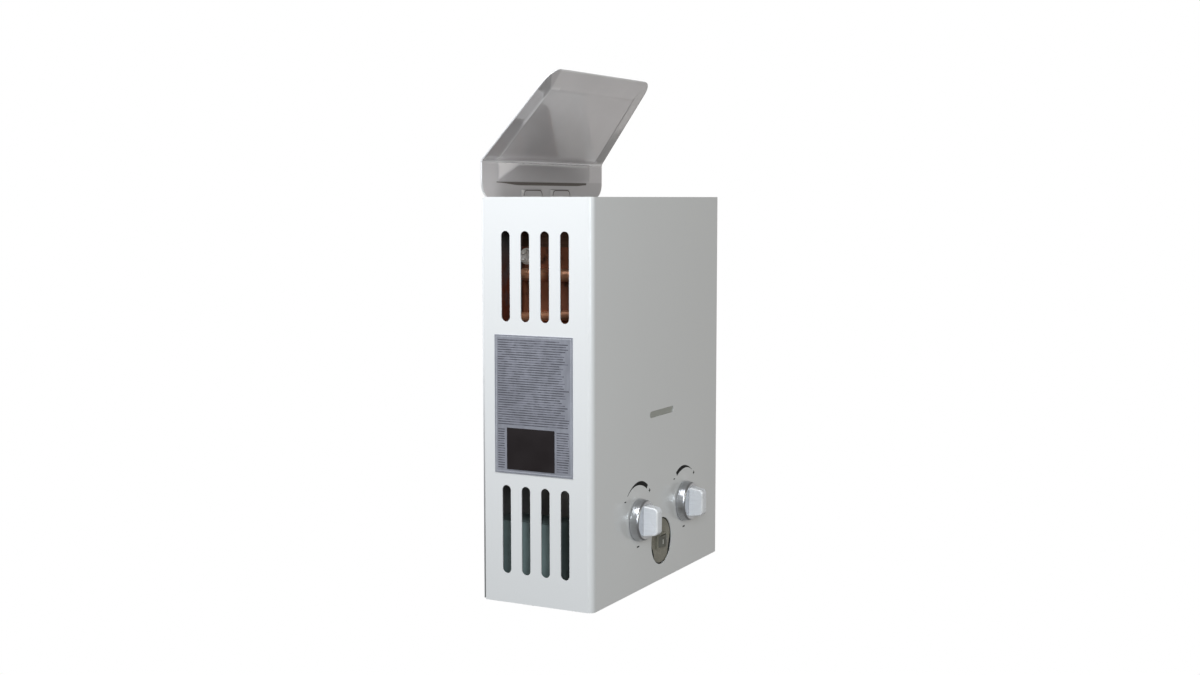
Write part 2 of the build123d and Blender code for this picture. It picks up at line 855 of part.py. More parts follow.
def make_gas_valve():
    """The gas valve: a block with two chambers and a seat between them, closed at each end."""
    seat_left = gas_x + seat_offset
    seat_right = seat_left + seat_thickness
    with BuildPart() as gas_valve_body:
        block(
            (gas_left, gas_right),
            (valve_near, valve_far),
            (knob_z - gas_body_half_height, gas_top),
        )
        stem_boss(gas_x)
        axis_bar(gas_left, seat_left, chamber_radius, Mode.SUBTRACT)
        axis_bar(seat_left, seat_right, seat_radius, Mode.SUBTRACT)
        axis_bar(seat_right, gas_right, outlet_chamber_radius, Mode.SUBTRACT)
    keep("gas_valve_body", gas_valve_body)

    with BuildPart() as gas_valve_cap:
        axis_bar(gas_left - cap_thickness, gas_left, cap_flange)
        axis_bar(gas_left, gas_left + plug_length, chamber_radius - running_fit)
    keep("gas_valve_cap", gas_valve_cap)

    with BuildPart() as rod_gland:
        axis_bar(gas_right, gas_right + gland_thickness, gland_flange)
        axis_bar(gas_right - plug_length, gas_right, outlet_chamber_radius - running_fit)
        axis_bar(
            gas_right - plug_length,
            gas_right + gland_thickness,
            rod_radius + running_fit,
            Mode.SUBTRACT,
        )
    keep("rod_gland", rod_gland)


def make_push_rod():
    """The rod between the diaphragm and the gas valve's disc, with its plate and collar."""
    plate_right = diaphragm_x - moving_gap
    with BuildPart() as push_rod:
        axis_bar(disc_right, plate_right, rod_radius)
        axis_bar(plate_right - collar_thickness, plate_right, plate_radius)
        axis_bar(collar_x, collar_x + collar_thickness, collar_radius)
    keep("push_rod", push_rod)

    with BuildPart() as gas_valve_disc:
        axis_bar(disc_right - disc_thickness, disc_right, disc_radius)
    keep("gas_valve_disc", gas_valve_disc)

    spring_left = gas_left + plug_length + rod_travel + moving_gap
    with BuildPart() as return_spring:
        axis_bar(spring_left, disc_right - disc_thickness, spring_radius)
        axis_bar(
            spring_left,
            disc_right - disc_thickness,
            spring_radius - spring_wall,
            Mode.SUBTRACT,
        )
    keep("return_spring", return_spring)


def screw_places():
    """The plane of the valve screws, looking along the shared axis."""
    return Plane(origin=at(0, valve_depth, knob_z), x_dir=(0, 1, 0), z_dir=(1, 0, 0))


def cut_screw_holes(left, right):
    """Cuts the ring of screw holes between two places along the axis."""
    with BuildSketch(screw_places().offset(left)) as holes:
        with PolarLocations(screw_circle, valve_screw_count):
            Circle(screw_radius + running_fit)
    extrude(holes.sketch, amount=right - left, mode=Mode.SUBTRACT)


def make_water_valve():
    """The water valve: a flanged cover and body with the rubber diaphragm between them."""
    cover_left = diaphragm_x - flange_thickness
    flange_right = water_flange_left + flange_thickness
    with BuildPart() as water_valve_cover:
        axis_bar(cover_left, diaphragm_x, diaphragm_radius)
        axis_bar(cover_left - cover_neck_length, cover_left, cover_neck_radius)
        axis_bar(diaphragm_x - cavity_depth, diaphragm_x, cavity_radius, Mode.SUBTRACT)
        axis_bar(
            cover_left - cover_neck_length,
            diaphragm_x,
            rod_radius + running_fit,
            Mode.SUBTRACT,
        )
        cut_screw_holes(cover_left, diaphragm_x)
    keep("water_valve_cover", water_valve_cover)

    with BuildPart() as diaphragm:
        axis_bar(diaphragm_x, water_flange_left, diaphragm_radius)
        cut_screw_holes(diaphragm_x, water_flange_left)
    keep("diaphragm", diaphragm)

    with BuildPart() as water_valve_body:
        axis_bar(water_flange_left, flange_right, diaphragm_radius)
        block(
            (flange_right, water_body_right),
            (valve_near, valve_far),
            (knob_z - water_half_height, knob_z + water_half_height),
        )
        stem_boss(water_knob_x)
        axis_bar(
            water_flange_left,
            water_flange_left + cavity_depth / 2,
            cavity_radius,
            Mode.SUBTRACT,
        )
        cut_screw_holes(water_flange_left, flange_right)
    keep("water_valve_body", water_valve_body)

    with BuildPart() as valve_screws:
        with BuildSketch(screw_places().offset(cover_left)):
            with PolarLocations(screw_circle, valve_screw_count):
                Circle(screw_radius)
        extrude(amount=flange_right - cover_left)
        with BuildSketch(screw_places().offset(cover_left)):
            with PolarLocations(screw_circle, valve_screw_count):
                Circle(screw_head_radius)
        extrude(amount=-screw_head_height)
    keep("valve_screws", valve_screws)


def make_microswitch():
    """The microswitch over the rod: its bracket, its body with two ears, and its lever."""
    bottom = gas_top - switch_drop_height
    pivot_x = lever_right - lever_thickness / 2
    pivot_z = bottom - lever_eye - lever_gap
    near, far = lever_near, lever_near + lever_width
    with BuildPart() as microswitch_bracket:
        block(
            (gas_right - plug_length, switch_right),
            (switch_near, switch_far),
            (gas_top, gas_top + sheet),
        )
    keep("microswitch_bracket", microswitch_bracket)

    with BuildPart() as microswitch:
        block((switch_left, switch_right), (switch_near, switch_far), (bottom, gas_top))
        for ear in (near - moving_gap - ear_thickness, far + moving_gap):
            block(
                (pivot_x - lever_eye, pivot_x + lever_eye),
                (ear, ear + ear_thickness),
                (pivot_z - lever_eye, bottom),
            )
        bar(
            at(pivot_x, near - moving_gap, pivot_z),
            at(pivot_x, far + moving_gap, pivot_z),
            lever_pin,
        )
    keep("microswitch", microswitch)

    with BuildPart() as microswitch_lever:
        bar(at(pivot_x, near, pivot_z), at(pivot_x, far, pivot_z), lever_eye)
        block(
            (lever_right - lever_thickness, lever_right),
            (near, far),
            (pivot_z - lever_length, pivot_z),
        )
        bar(
            at(pivot_x, near, pivot_z),
            at(pivot_x, far, pivot_z),
            lever_pin + running_fit,
            Mode.SUBTRACT,
        )
    keep("microswitch_lever", microswitch_lever)


# Front controls

def make_knob(name, stem_name, x):
    """A knob with a round skirt and an upright grip, and the stem that it turns."""
    with BuildPart() as knob:
        face = at(x, knob_near, knob_z)
        bar(face, at(x, knob_near + knob_skirt, knob_z), knob_radius)
        fillet(knob.edges().filter_by(GeomType.CIRCLE).sort_by(Axis.Y)[0], knob_round)
        with BuildSketch(Plane.XZ.offset(knob_near)):
            with Locations((x, knob_z)):
                RectangleRounded(grip_width, grip_height, grip_corner)
        extrude(amount=knob_reach - knob_gap)
        fillet(knob.faces().sort_by(Axis.Y)[0].edges(), knob_round)
        bar(face, at(x, knob_near + knob_bore, knob_z), stem_radius + running_fit, Mode.SUBTRACT)
    keep(name, knob)

    with BuildPart() as stem:
        inner = valve_far + stem_boss_length - stem_bore_depth + sheet
        outer = knob_near + knob_bore - running_fit
        bar(at(x, inner, knob_z), at(x, outer, knob_z), stem_radius)
    keep(stem_name, stem)


def make_viewing_window():
    """The glass strip behind the viewing slot and the clip that holds it to the cover."""
    half = window_width / 2 + window_margin
    high = window_height / 2 + window_margin / 2
    near = inside_face - window_glass
    with BuildPart() as view_window:
        block(
            (control_centre - half, control_centre + half),
            (near, inside_face),
            (window_z - high, window_z + high),
        )
    keep("view_window", view_window)

    with BuildPart() as window_clip:
        block(
            (control_centre - half - window_margin, control_centre + half + window_margin),
            (near - sheet, near),
            (window_z - high, window_z + high),
        )
        with BuildSketch(Plane.XZ.offset(near - sheet)):
            with Locations((control_centre, window_z)):
                SlotOverall(window_width, window_height + 2 * slip)
        extrude(amount=sheet, mode=Mode.SUBTRACT)
        for left in (control_centre - half - window_margin, control_centre + half):
            block(
                (left, left + window_margin),
                (near, inside_face),
                (window_z - high, window_z + high),
            )
    keep("window_clip", window_clip)


def make_switch():
    """The round switch plate, the rocker switch's housing in it, and the rocker."""
    face = inside_face
    pivot_depth = face + bezel_reach - rocker_rise
    cavity_width = 2 * (rocker_radius + rocker_gap)
    cavity_height = rocker_height + 2 * rocker_gap
    with BuildPart() as switch_plate:
        with BuildSketch(Plane.XZ.offset(face - switch_plate_thickness)):
            with Locations((control_centre, switch_z)):
                Circle(switch_plate_radius)
                Rectangle(switch_body_width, switch_body_height, mode=Mode.SUBTRACT)
        extrude(amount=switch_plate_thickness)
        with BuildSketch(Plane.XZ.offset(face - groove_depth)):
            with Locations((control_centre, switch_z)):
                Circle(switch_hole_radius)
                Circle(switch_hole_radius - groove_width, mode=Mode.SUBTRACT)
            with Locations((control_centre, switch_z)):
                with PolarLocations(switch_hole_radius, bridge_count, start_angle=bridge_start):
                    Rectangle(switch_hole_radius, groove_bridge, mode=Mode.SUBTRACT)
        extrude(amount=groove_depth, mode=Mode.SUBTRACT)
    keep("switch_plate", switch_plate)

    with BuildPart() as switch_housing:
        with BuildSketch(Plane.XZ.offset(face - switch_body_depth)):
            with Locations((control_centre, switch_z)):
                Rectangle(switch_body_width, switch_body_height)
        extrude(amount=switch_body_depth)
        with BuildSketch(Plane.XZ.offset(face)):
            with Locations((control_centre, switch_z)):
                Rectangle(bezel_width, bezel_height)
        extrude(amount=bezel_reach)
        with BuildSketch(Plane.XZ.offset(pivot_depth - rocker_radius - rocker_gap)):
            with Locations((control_centre, switch_z)):
                Rectangle(cavity_width, cavity_height)
        extrude(amount=switch_body_depth, mode=Mode.SUBTRACT)
        bar(
            at(control_centre, pivot_depth, switch_z - switch_body_height / 2),
            at(control_centre, pivot_depth, switch_z + switch_body_height / 2),
            rocker_pin + running_fit,
            Mode.SUBTRACT,
        )
    keep("switch_housing", switch_housing)

    centre = (control_centre, -pivot_depth)
    side_x = rocker_radius + rocker_rise
    with BuildPart() as switch_rocker:
        with BuildSketch(Plane.XY.offset(switch_z - rocker_height / 2)):
            with Locations(centre):
                Circle(rocker_radius)
            with Locations(Location((*centre, 0), (0, 0, rocker_tilt))):
                slope = side_x * tan(radians(rocker_tilt))
                with BuildLine():
                    Polyline(
                        (0, -rocker_rise),
                        (side_x, -rocker_rise - slope),
                        (side_x, -2 * side_x),
                        (-side_x, -2 * side_x),
                        (-side_x, -rocker_rise - slope),
                        close=True,
                    )
                make_face(mode=Mode.SUBTRACT)
        extrude(amount=rocker_height)
        pin_reach = switch_body_height / 2 - running_fit
        bar(
            at(control_centre, pivot_depth, switch_z - pin_reach),
            at(control_centre, pivot_depth, switch_z + pin_reach),
            rocker_pin,
        )
    keep("switch_rocker", switch_rocker)


# Pipes and their fittings

def make_fitting(name, x, top):
    """A threaded fitting through the floor: thread, neck, hexagon and a riser up to a height."""
    foot = hex_top - hex_height - (fitting_neck + thread_length)
    with BuildPart() as fitting:
        thread_top = foot + thread_length
        bar(at(x, fitting_depth, foot), at(x, fitting_depth, thread_top), thread_radius)
        bar(at(x, fitting_depth, thread_top), at(x, fitting_depth, tray_bottom), neck_radius)
        hexagon(at(x, fitting_depth, tray_bottom), at(x, fitting_depth, hex_top), hex_radius)
        if top > hex_top:
            bar(at(x, fitting_depth, hex_top), at(x, fitting_depth, top), pipe_radius)
        bar(
            at(x, fitting_depth, foot),
            at(x, fitting_depth, foot + thread_bore_depth),
            thread_bore,
            Mode.SUBTRACT,
        )
    keep(name, fitting)


def make_pipes():
    """The pipes: cold water down to the valve, hot water to its fitting, gas up to the rail."""
    x, y, z = wrap_points()[-1]
    water_top = knob_z + water_half_height
    with BuildPart() as cold_pipe:
        turn = water_top + cold_pipe_rise
        tube(
            [(x, y, z), (x, y, turn), at(x, valve_depth, turn), at(x, valve_depth, water_top)],
            wrap_radius,
            wrap_bend,
        )
    keep("cold_pipe", cold_pipe)

    start = shell_right + bend_overhang
    depth = pass_depths()[-1]
    with BuildPart() as hot_pipe:
        tube(
            [
                at(start, depth, pass_height),
                at(hot_x, depth, pass_height),
                at(hot_x, fitting_depth, pass_height - hot_pipe_drop),
                at(hot_x, fitting_depth, hex_top),
            ],
            pass_radius,
            wrap_bend,
        )
    keep("hot_pipe", hot_pipe)

    x = gas_x + gas_pipe_offset
    turn = gas_top + gas_pipe_rise
    with BuildPart() as gas_pipe:
        tube(
            [
                at(x, valve_depth, gas_top),
                at(x, valve_depth, turn),
                at(x, manifold_depth, turn),
                at(x, manifold_depth, manifold_height - outlet_boss_height),
            ],
            pipe_radius,
            gas_pipe_bend,
        )
    keep("gas_pipe", gas_pipe)


def make_drain_plug():
    """The frost drain plug under the water valve, which reaches through the floor."""
    head_bottom = case_bottom - drain_reach
    head_top = head_bottom + drain_head_height
    with BuildPart() as drain_plug:
        shank_top = at(drain_x, fitting_depth, knob_z - water_half_height)
        bar(at(drain_x, fitting_depth, head_top), shank_top, drain_shank_radius)
        head = at(drain_x, fitting_depth, head_bottom)
        bar(head, at(drain_x, fitting_depth, head_top), drain_head_radius)
    keep("drain_plug", drain_plug)


# Battery box, igniter and leads

def make_battery_box():
    """The battery box, open below, its two cells and the door that closes it."""
    inner_x = (box_left + box_wall, box_right - box_wall)
    inner_depth = (box_near + box_wall, box_far - box_wall)
    hinge_x = inner_x[1] - door_gap - door_thickness / 2
    hinge_z = floor_face + door_thickness / 2
    with BuildPart() as battery_box:
        block((box_left, box_right), (box_near, box_far), (floor_face, box_top))
        block(inner_x, inner_depth, (floor_face, box_top - box_wall), Mode.SUBTRACT)
        bar(
            at(hinge_x, inner_depth[0] - box_wall / 2, hinge_z),
            at(hinge_x, inner_depth[1] + box_wall / 2, hinge_z),
            door_pin + running_fit,
            Mode.SUBTRACT,
        )
        for depth in cell_depths():
            bar(
                at(box_x, depth, box_top - box_wall - contact_height),
                at(box_x, depth, box_top - box_wall),
                contact_radius,
            )
    keep("battery_box", battery_box)

    with BuildPart() as battery_door:
        block(
            (inner_x[0] + door_gap, hinge_x),
            (inner_depth[0] + door_gap, inner_depth[1] - door_gap),
            (floor_face, floor_face + door_thickness),
        )
        bar(
            at(hinge_x, inner_depth[0] + door_gap, hinge_z),
            at(hinge_x, inner_depth[1] - door_gap, hinge_z),
            door_thickness / 2,
        )
        pin_inset = box_wall / 2 - running_fit
        bar(
            at(hinge_x, inner_depth[0] - pin_inset, hinge_z),
            at(hinge_x, inner_depth[1] + pin_inset, hinge_z),
            door_pin,
        )
    keep("battery_door", battery_door)

    with BuildPart() as battery_cells:
        for depth in cell_depths():
            bar(at(box_x, depth, cell_bottom), at(box_x, depth, cell_top), cell_radius)
            cap = at(box_x, depth, cell_top + cell_cap_height)
            bar(at(box_x, depth, cell_top), cap, cell_cap_radius)
    keep("battery_cells", battery_cells)


def cell_depths():
    """How far from the wall the middle of each cell lies."""
    first = box_near + box_wall + cell_gap + cell_radius
    return [first, first + 2 * cell_radius + cell_gap]


def make_igniter():
    """The spark igniter's box on the wall plate and the leads to its two electrodes."""
    with BuildPart() as igniter_box:
        block(
            (igniter_left, igniter_right),
            (sheet, igniter_far),
            (igniter_top - igniter_height, igniter_top),
        )
    keep("igniter_box", igniter_box)

    leads = (
        ("ignition_lead", spark_x, electrode_height),
        ("sensor_lead", sensor_x, electrode_height + sensor_rise),
    )
    for number, (name, x, z) in enumerate(leads, start=1):
        end_x = igniter_left + number * lead_step
        end_z = igniter_top - number * lead_drop
        with BuildPart() as lead:
            tube(
                [
                    at(x, electrode_front, z),
                    at(x, lead_front, z),
                    at(end_x, lead_front, end_z),
                    at(end_x, igniter_far, end_z),
                ],
                lead_radius,
                lead_bend,
            )
        keep(name, lead)


make_front_cover()
make_back_plate()
make_top_panel()
make_bottom_panel()
make_cover_screws()
make_side_plates()
make_flue_deflector()
make_smoke_hood()
make_exchanger()
make_wrap_coil()
make_exchanger_brackets()
make_thermostat()
make_burner_frame()
make_burner_bars()
make_manifold()
make_electrode("spark_electrode", spark_x, electrode_height)
make_electrode("flame_sensor", sensor_x, electrode_height + sensor_rise)
make_gas_valve()
make_push_rod()
make_water_valve()
make_microswitch()
make_knob("gas_knob", "gas_stem", gas_x)
make_knob("water_knob", "water_stem", water_knob_x)
make_viewing_window()
make_switch()
make_fitting("gas_inlet_fitting", gas_x, knob_z - gas_body_half_height)
make_fitting("cold_inlet_fitting", water_x, knob_z - water_half_height)
make_fitting("hot_outlet_fitting", hot_x, hex_top)
make_pipes()
make_drain_plug()
make_battery_box()
make_igniter()
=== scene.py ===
"""Looks of a flat wall-hung gas water heater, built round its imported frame.

Metres. The front faces -Y, +Z is up, and the origin is the hanging hole on the wall plane.
The file is laid out as an add-on: one operator for each piece or group of pieces.
"""

import json
from math import asin, cos, exp, pi, radians, sin, sqrt

import bmesh
import bpy
from bpy.props import FloatProperty, FloatVectorProperty, IntProperty, PointerProperty
from mathutils import Matrix, Vector
from mathutils.bvhtree import BVHTree


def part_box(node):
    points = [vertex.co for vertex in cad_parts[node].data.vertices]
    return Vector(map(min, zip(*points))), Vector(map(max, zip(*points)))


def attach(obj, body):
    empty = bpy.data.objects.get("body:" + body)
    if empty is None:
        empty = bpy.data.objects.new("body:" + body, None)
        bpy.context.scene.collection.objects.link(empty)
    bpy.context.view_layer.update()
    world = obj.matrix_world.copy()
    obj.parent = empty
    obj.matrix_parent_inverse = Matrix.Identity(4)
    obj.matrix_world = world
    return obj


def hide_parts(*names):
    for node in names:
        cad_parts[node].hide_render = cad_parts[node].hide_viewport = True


bl_info = {
    "name": "Gas water heater",
    "version": (1, 0, 0),
    "blender": (4, 5, 0),
    "location": "View3D > Sidebar > Heater",
    "description": "Builds the looks of a wall-hung gas water heater round its frame",
    "category": "Object",
}

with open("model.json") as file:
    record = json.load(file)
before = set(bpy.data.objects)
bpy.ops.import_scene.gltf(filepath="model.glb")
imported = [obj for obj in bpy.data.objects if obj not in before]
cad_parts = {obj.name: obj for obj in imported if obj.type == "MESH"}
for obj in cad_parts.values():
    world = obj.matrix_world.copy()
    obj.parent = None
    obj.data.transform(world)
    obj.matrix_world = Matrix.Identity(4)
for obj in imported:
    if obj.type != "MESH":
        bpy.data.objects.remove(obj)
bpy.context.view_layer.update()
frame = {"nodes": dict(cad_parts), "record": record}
nodes = frame["nodes"]
slots = {row["node"]: row["material_slot"] for row in frame["record"]["subparts"]}
bodies = {
    node: body
    for body, members in frame["record"]["behaviour"]["bodies"].items()
    for node in members
}

MM = 0.001
# Points nearer than this are one; faces within FLAT are one; edges past SHARP are sharp
WELD = 2e-6
FLAT = radians(0.4)
SHARP = radians(35)
# How far printing stands off its ground, and how deep it is let into it
PRINT = 0.05 * MM
# From a shape built upwards along Z to one that points forward
FORWARD = Matrix.Rotation(pi / 2, 4, "X")
# The corners of a square, in order
SQUARE = ((-1, -1), (1, -1), (1, 1), (-1, 1))

# Softening of each node's edges in millimetres; 0 only smooths its round faces
EDGES = {
    "back_plate": 0.25, "bottom_panel": 0.25, "top_panel": 0.25,
    "data_plate": 0.1, "data_plate_field": 0.1,
    "smoke_hood": 0.3, "exchanger_shell": 0.3, "exchanger_brackets": 0.25,
    "exchanger_tube": 0, "wrap_coil": 0, "cold_pipe": 0, "hot_pipe": 0, "gas_pipe": 0,
    "overheat_thermostat": 0.4, "spark_electrode": 0.2, "flame_sensor": 0.2,
    "burner_frame": 0.25, "gas_manifold": 0.3,
    "gas_valve_body": 1.2, "gas_valve_cap": 0.5, "gas_valve_disc": 0.3, "push_rod": 0.2,
    "rod_gland": 0.5, "water_valve_cover": 0.6, "water_valve_body": 0.8, "diaphragm": 0.3,
    "microswitch": 0.4, "microswitch_bracket": 0.2, "microswitch_lever": 0.15,
    "gas_stem": 0.3, "water_stem": 0.3, "drain_plug": 0.6, "igniter_box": 1.5,
    "switch_plate": 0.15, "switch_housing": 0.5, "switch_rocker": 0.35,
    "view_window": 0.3, "window_clip": 0.2,
    "battery_box": 0.6, "battery_door": 0.4, "battery_cells": 0.3,
}


def feed(tree, socket, value):
    """Links an output to a socket, or sets the socket's own value."""
    if isinstance(value, bpy.types.NodeSocket):
        tree.links.new(value, socket)
    else:
        socket.default_value = value


# Finishes

class Finish:
    """A material: its shader's own sockets, and the node calls that give it detail."""

    def __init__(self, name, colour, roughness, metallic=0.0, **sockets):
        self.colour = colour
        self.material = bpy.data.materials.new(name)
        self.material.use_nodes = True
        self.tree = self.material.node_tree
        self.shader = self.tree.nodes["Principled BSDF"]
        self.shader.inputs["Base Color"].default_value = (*colour, 1)
        self.shader.inputs["Roughness"].default_value = roughness
        self.shader.inputs["Metallic"].default_value = metallic
        for socket, value in sockets.items():
            self.shader.inputs[socket.replace("_", " ")].default_value = value
        self.place = self.node("ShaderNodeTexCoord").outputs["Object"]

    def node(self, kind, **inputs):
        """A node of a kind, with values or links for its inputs."""
        node = self.tree.nodes.new(kind)
        for name, value in inputs.items():
            feed(self.tree, node.inputs[name.replace("_", " ").title()], value)
        return node

    def noise(self, scale, stretch=(1, 1, 1), detail=3.0):
        """Noise on object coordinates: cells per metre, drawn out where stretch is small."""
        mapping = self.node("ShaderNodeMapping", vector=self.place, scale=stretch)
        noise = self.node(
            "ShaderNodeTexNoise", vector=mapping.outputs[0], scale=scale, detail=detail
        )
        return noise.outputs["Fac"]

    def cells(self, scale):
        """A random grey for each cell of a cell pattern, as in zinc spangle."""
        cells = self.node("ShaderNodeTexVoronoi", vector=self.place, scale=scale)
        grey = self.node("ShaderNodeRGBToBW", color=cells.outputs["Color"])
        return grey.outputs[0]

    def span(self, value, low, high, start=0.0, end=1.0):
        """Maps a value's span between low and high to another span."""
        node = self.node("ShaderNodeMapRange", value=value)
        node.inputs["From Min"].default_value = low
        node.inputs["From Max"].default_value = high
        node.inputs["To Min"].default_value = start
        node.inputs["To Max"].default_value = end
        return node.outputs["Result"]

    def blend(self, amount, first, second):
        """A colour between two colours or outputs."""
        mix = self.tree.nodes.new("ShaderNodeMix")
        mix.data_type = "RGBA"
        feed(self.tree, mix.inputs["Factor"], amount)
        for socket, value in ((mix.inputs[6], first), (mix.inputs[7], second)):
            if not isinstance(value, bpy.types.NodeSocket):
                value = (*value, 1)
            feed(self.tree, socket, value)
        return mix.outputs[2]

    def math(self, operation, first, second):
        """One operation on two numbers or outputs."""
        node = self.tree.nodes.new("ShaderNodeMath")
        node.operation = operation
        feed(self.tree, node.inputs[0], first)
        feed(self.tree, node.inputs[1], second)
        return node.outputs[0]

    def mark(self, name):
        """A mark that pieces carry at each point, such as their worn edges."""
        node = self.tree.nodes.new("ShaderNodeAttribute")
        node.attribute_name = name
        return node.outputs["Fac"]

    def along(self, axis):
        """One object coordinate, in metres."""
        split = self.node("ShaderNodeSeparateXYZ", vector=self.place)
        return split.outputs[axis]

    def tones(self, amount, first, second):
        """A colour between two tones of the finish's own colour."""
        return self.blend(amount, shade(self.colour, first), shade(self.colour, second))

    def worn(self, base, tone, share):
        """A base colour that turns to a paler tone of the finish's own on worn edges."""
        wear = self.math("MULTIPLY", self.mark("edge"), share)
        return self.blend(wear, base, shade(self.colour, tone))

    def done(self, base, roughness, grain, depth, **links):
        """Links colour, roughness and a relief of a depth in millimetres; the material."""
        relief = self.node("ShaderNodeBump", height=grain, distance=depth * MM)
        links.update(base_color=base, roughness=roughness, normal=relief.outputs[0])
        for name, value in links.items():
            feed(self.tree, self.shader.inputs[name.replace("_", " ").title()], value)
        return self.material


def shade(colour, factor):
    """A colour made darker or lighter by a factor."""
    return tuple(min(1.0, c * factor) for c in colour)


def chosen(name):
    """A colour of the settings."""
    return tuple(getattr(bpy.context.scene.heater_colours, name))


def make_enamel():
    """Stoved white enamel: faint mottle and orange peel, a few chips along the edges."""
    colour = chosen("enamel")
    finish = Finish("white_enamel", colour, 0.24, Coat_Weight=0.3, Coat_Roughness=0.08)
    mottle = finish.span(finish.noise(7, detail=2), 0.1, 0.9)
    base = finish.tones(mottle, 0.985, 1.012)
    chips = finish.span(finish.noise(170, detail=2), 0.63, 0.66)
    wear = finish.math("MULTIPLY", finish.mark("edge"), chips)
    base = finish.blend(wear, base, (0.45, 0.45, 0.45))
    gloss = finish.span(mottle, 0, 1, 0.17, 0.22)
    return finish.done(base, gloss, finish.noise(260, detail=1.0), 0.008)


def make_sheet_metal(name, colour, low, high, spangle=90, metallic=1.0):
    """Bare sheet: spangle cells, rolling streaks and edges rubbed bright."""
    finish = Finish(name, colour, (low + high) / 2, metallic)
    streaks = finish.noise(38, (1, 1, 14), 4)
    base = finish.tones(finish.cells(spangle), 0.92, 1.05)
    base = finish.blend(finish.span(streaks, 0.55, 0.75, 0, 0.35), base, shade(colour, 0.78))
    base = finish.worn(base, 1.35, 0.6)
    rough = finish.span(streaks, 0.3, 0.7, low, high)
    return finish.done(base, rough, finish.noise(900, (1, 1, 8), 2), 0.008)


def make_wall_plate():
    """The wall plate's zinc, with painted reflected light of the copper on its inside and its rim
    painted paler upwards as painted light.
    """
    colour = (0.4, 0.41, 0.41)
    finish = Finish("wall_plate_zinc", colour, 0.42, 0.7)
    base = finish.tones(finish.cells(90), 0.9, 1.05)
    # Painted reflected light: a reddish, patchy band on the plate's inside behind the exchanger,
    # where the copper's light would fall
    copper_light_band = finish.math("MULTIPLY", finish.span(finish.along("Z"), -0.2, -0.15),
                         finish.span(finish.along("Z"), -0.01, -0.05))
    patches = finish.span(finish.noise(32, detail=5), 0.25, 0.5)
    inside = finish.span(finish.along("Y"), -0.4 * MM, -0.8 * MM)
    for sign in (-1, 1):
        within = finish.span(finish.along("X"), sign * 143 * MM, sign * 139 * MM)
        inside = finish.math("MULTIPLY", inside, within)
    stain = finish.math("MULTIPLY", finish.math("MULTIPLY", copper_light_band, patches), inside)
    base = finish.blend(stain, base, (0.36, 0.10, 0.055))
    base = finish.worn(base, 1.4, 0.6)
    # Painted light: the rim's outer faces pale at the top, fading down to bare zinc
    rim = finish.span(finish.math("ABSOLUTE", finish.along("X"), 0.0), 145.6 * MM, 146 * MM)
    rim = finish.math("MULTIPLY", rim, finish.span(finish.along("Z"), -0.31, -0.12))
    base = finish.blend(rim, base, (0.9, 0.9, 0.9))
    rough = finish.span(patches, 0, 1, 0.36, 0.5)
    painted_light = finish.math("MAXIMUM", stain, rim)
    return finish.done(
        base, rough, finish.noise(900, (1, 1, 8), 2), 0.008,
        metallic=finish.span(painted_light, 0, 1, 0.7, 0.1),
    )


def make_deflector_sheet():
    """The deflector's smooth zinc-plated sheet, with wipe marks, painted shade below its ramp and
    on its left border, and painted highlights along its fold and pan line.
    """
    colour = chosen("deflector")
    finish = Finish("deflector_zinc", colour, 0.1, 0.3)
    haze = finish.span(finish.noise(13, detail=4), 0.35, 0.7)
    base = finish.tones(haze, 1, 0.93)
    # Painted shade: darker in the ramp's foot, on the riser's right and on the plate's left
    # border, by the mark the deflector carries
    base = finish.blend(finish.mark("soot"), base, shade(colour, 0.5))
    # The edge mark here also carries painted highlights along the fold and the pan's left inner
    # line, besides worn edges
    base = finish.worn(base, 1.5, 0.7)
    wipes = finish.noise(30, (2, 9, 9), 5)
    wiped = finish.span(wipes, 0.3, 0.75, 0.03, 0.08)
    riser = finish.span(finish.along("Z"), 67 * MM, 62 * MM, 0, 0.26)
    rough = finish.math("ADD", wiped, riser)
    return finish.done(base, rough, finish.noise(20, detail=1.0), 0.03)


def make_copper(name="fired_copper", group="shell", low=0.34, high=0.52):
    """Copper after many firings: brown skin, dark scale, bare metal on the edges."""
    colour = chosen(group)
    finish = Finish(name, colour, 0.4, 0.6)
    skin = finish.span(finish.noise(30, (1, 1, 0.5), 6), 0.34, 0.64)
    base = finish.tones(skin, 0.6, 1.2)
    scale = finish.span(finish.noise(75, detail=7), 0.56, 0.7)
    base = finish.blend(scale, base, (0.05, 0.028, 0.022))
    base = finish.worn(base, 2.2, 0.7)
    rough = finish.span(skin, 0, 1, high, low)
    return finish.done(base, rough, finish.noise(480, detail=4), 0.03)


def make_brass():
    """Machined brass with turning marks and tarnish."""
    colour = chosen("brass")
    finish = Finish("turned_brass", colour, 0.32, 1.0)
    tarnish = finish.span(finish.noise(60, detail=6), 0.42, 0.68)
    base = finish.tones(tarnish, 1, 0.55)
    base = finish.worn(base, 1.35, 0.6)
    rough = finish.span(tarnish, 0, 1, 0.24, 0.46)
    return finish.done(base, rough, finish.noise(1500, (0.1, 0.1, 1), 1), 0.01)


def make_cast(name, colour, grain, metallic, depth):
    """A die casting: grainy skin, darker in the hollows of the grain."""
    finish = Finish(name, colour, 0.5, metallic)
    grains = finish.noise(grain, detail=4)
    hollows = finish.span(grains, 0.35, 0.65)
    base = finish.tones(hollows, 0.82, 1.08)
    base = finish.worn(base, 1.35, 0.5)
    return finish.done(base, finish.span(finish.noise(70), 0.3, 0.7, 0.4, 0.58), grains, depth)


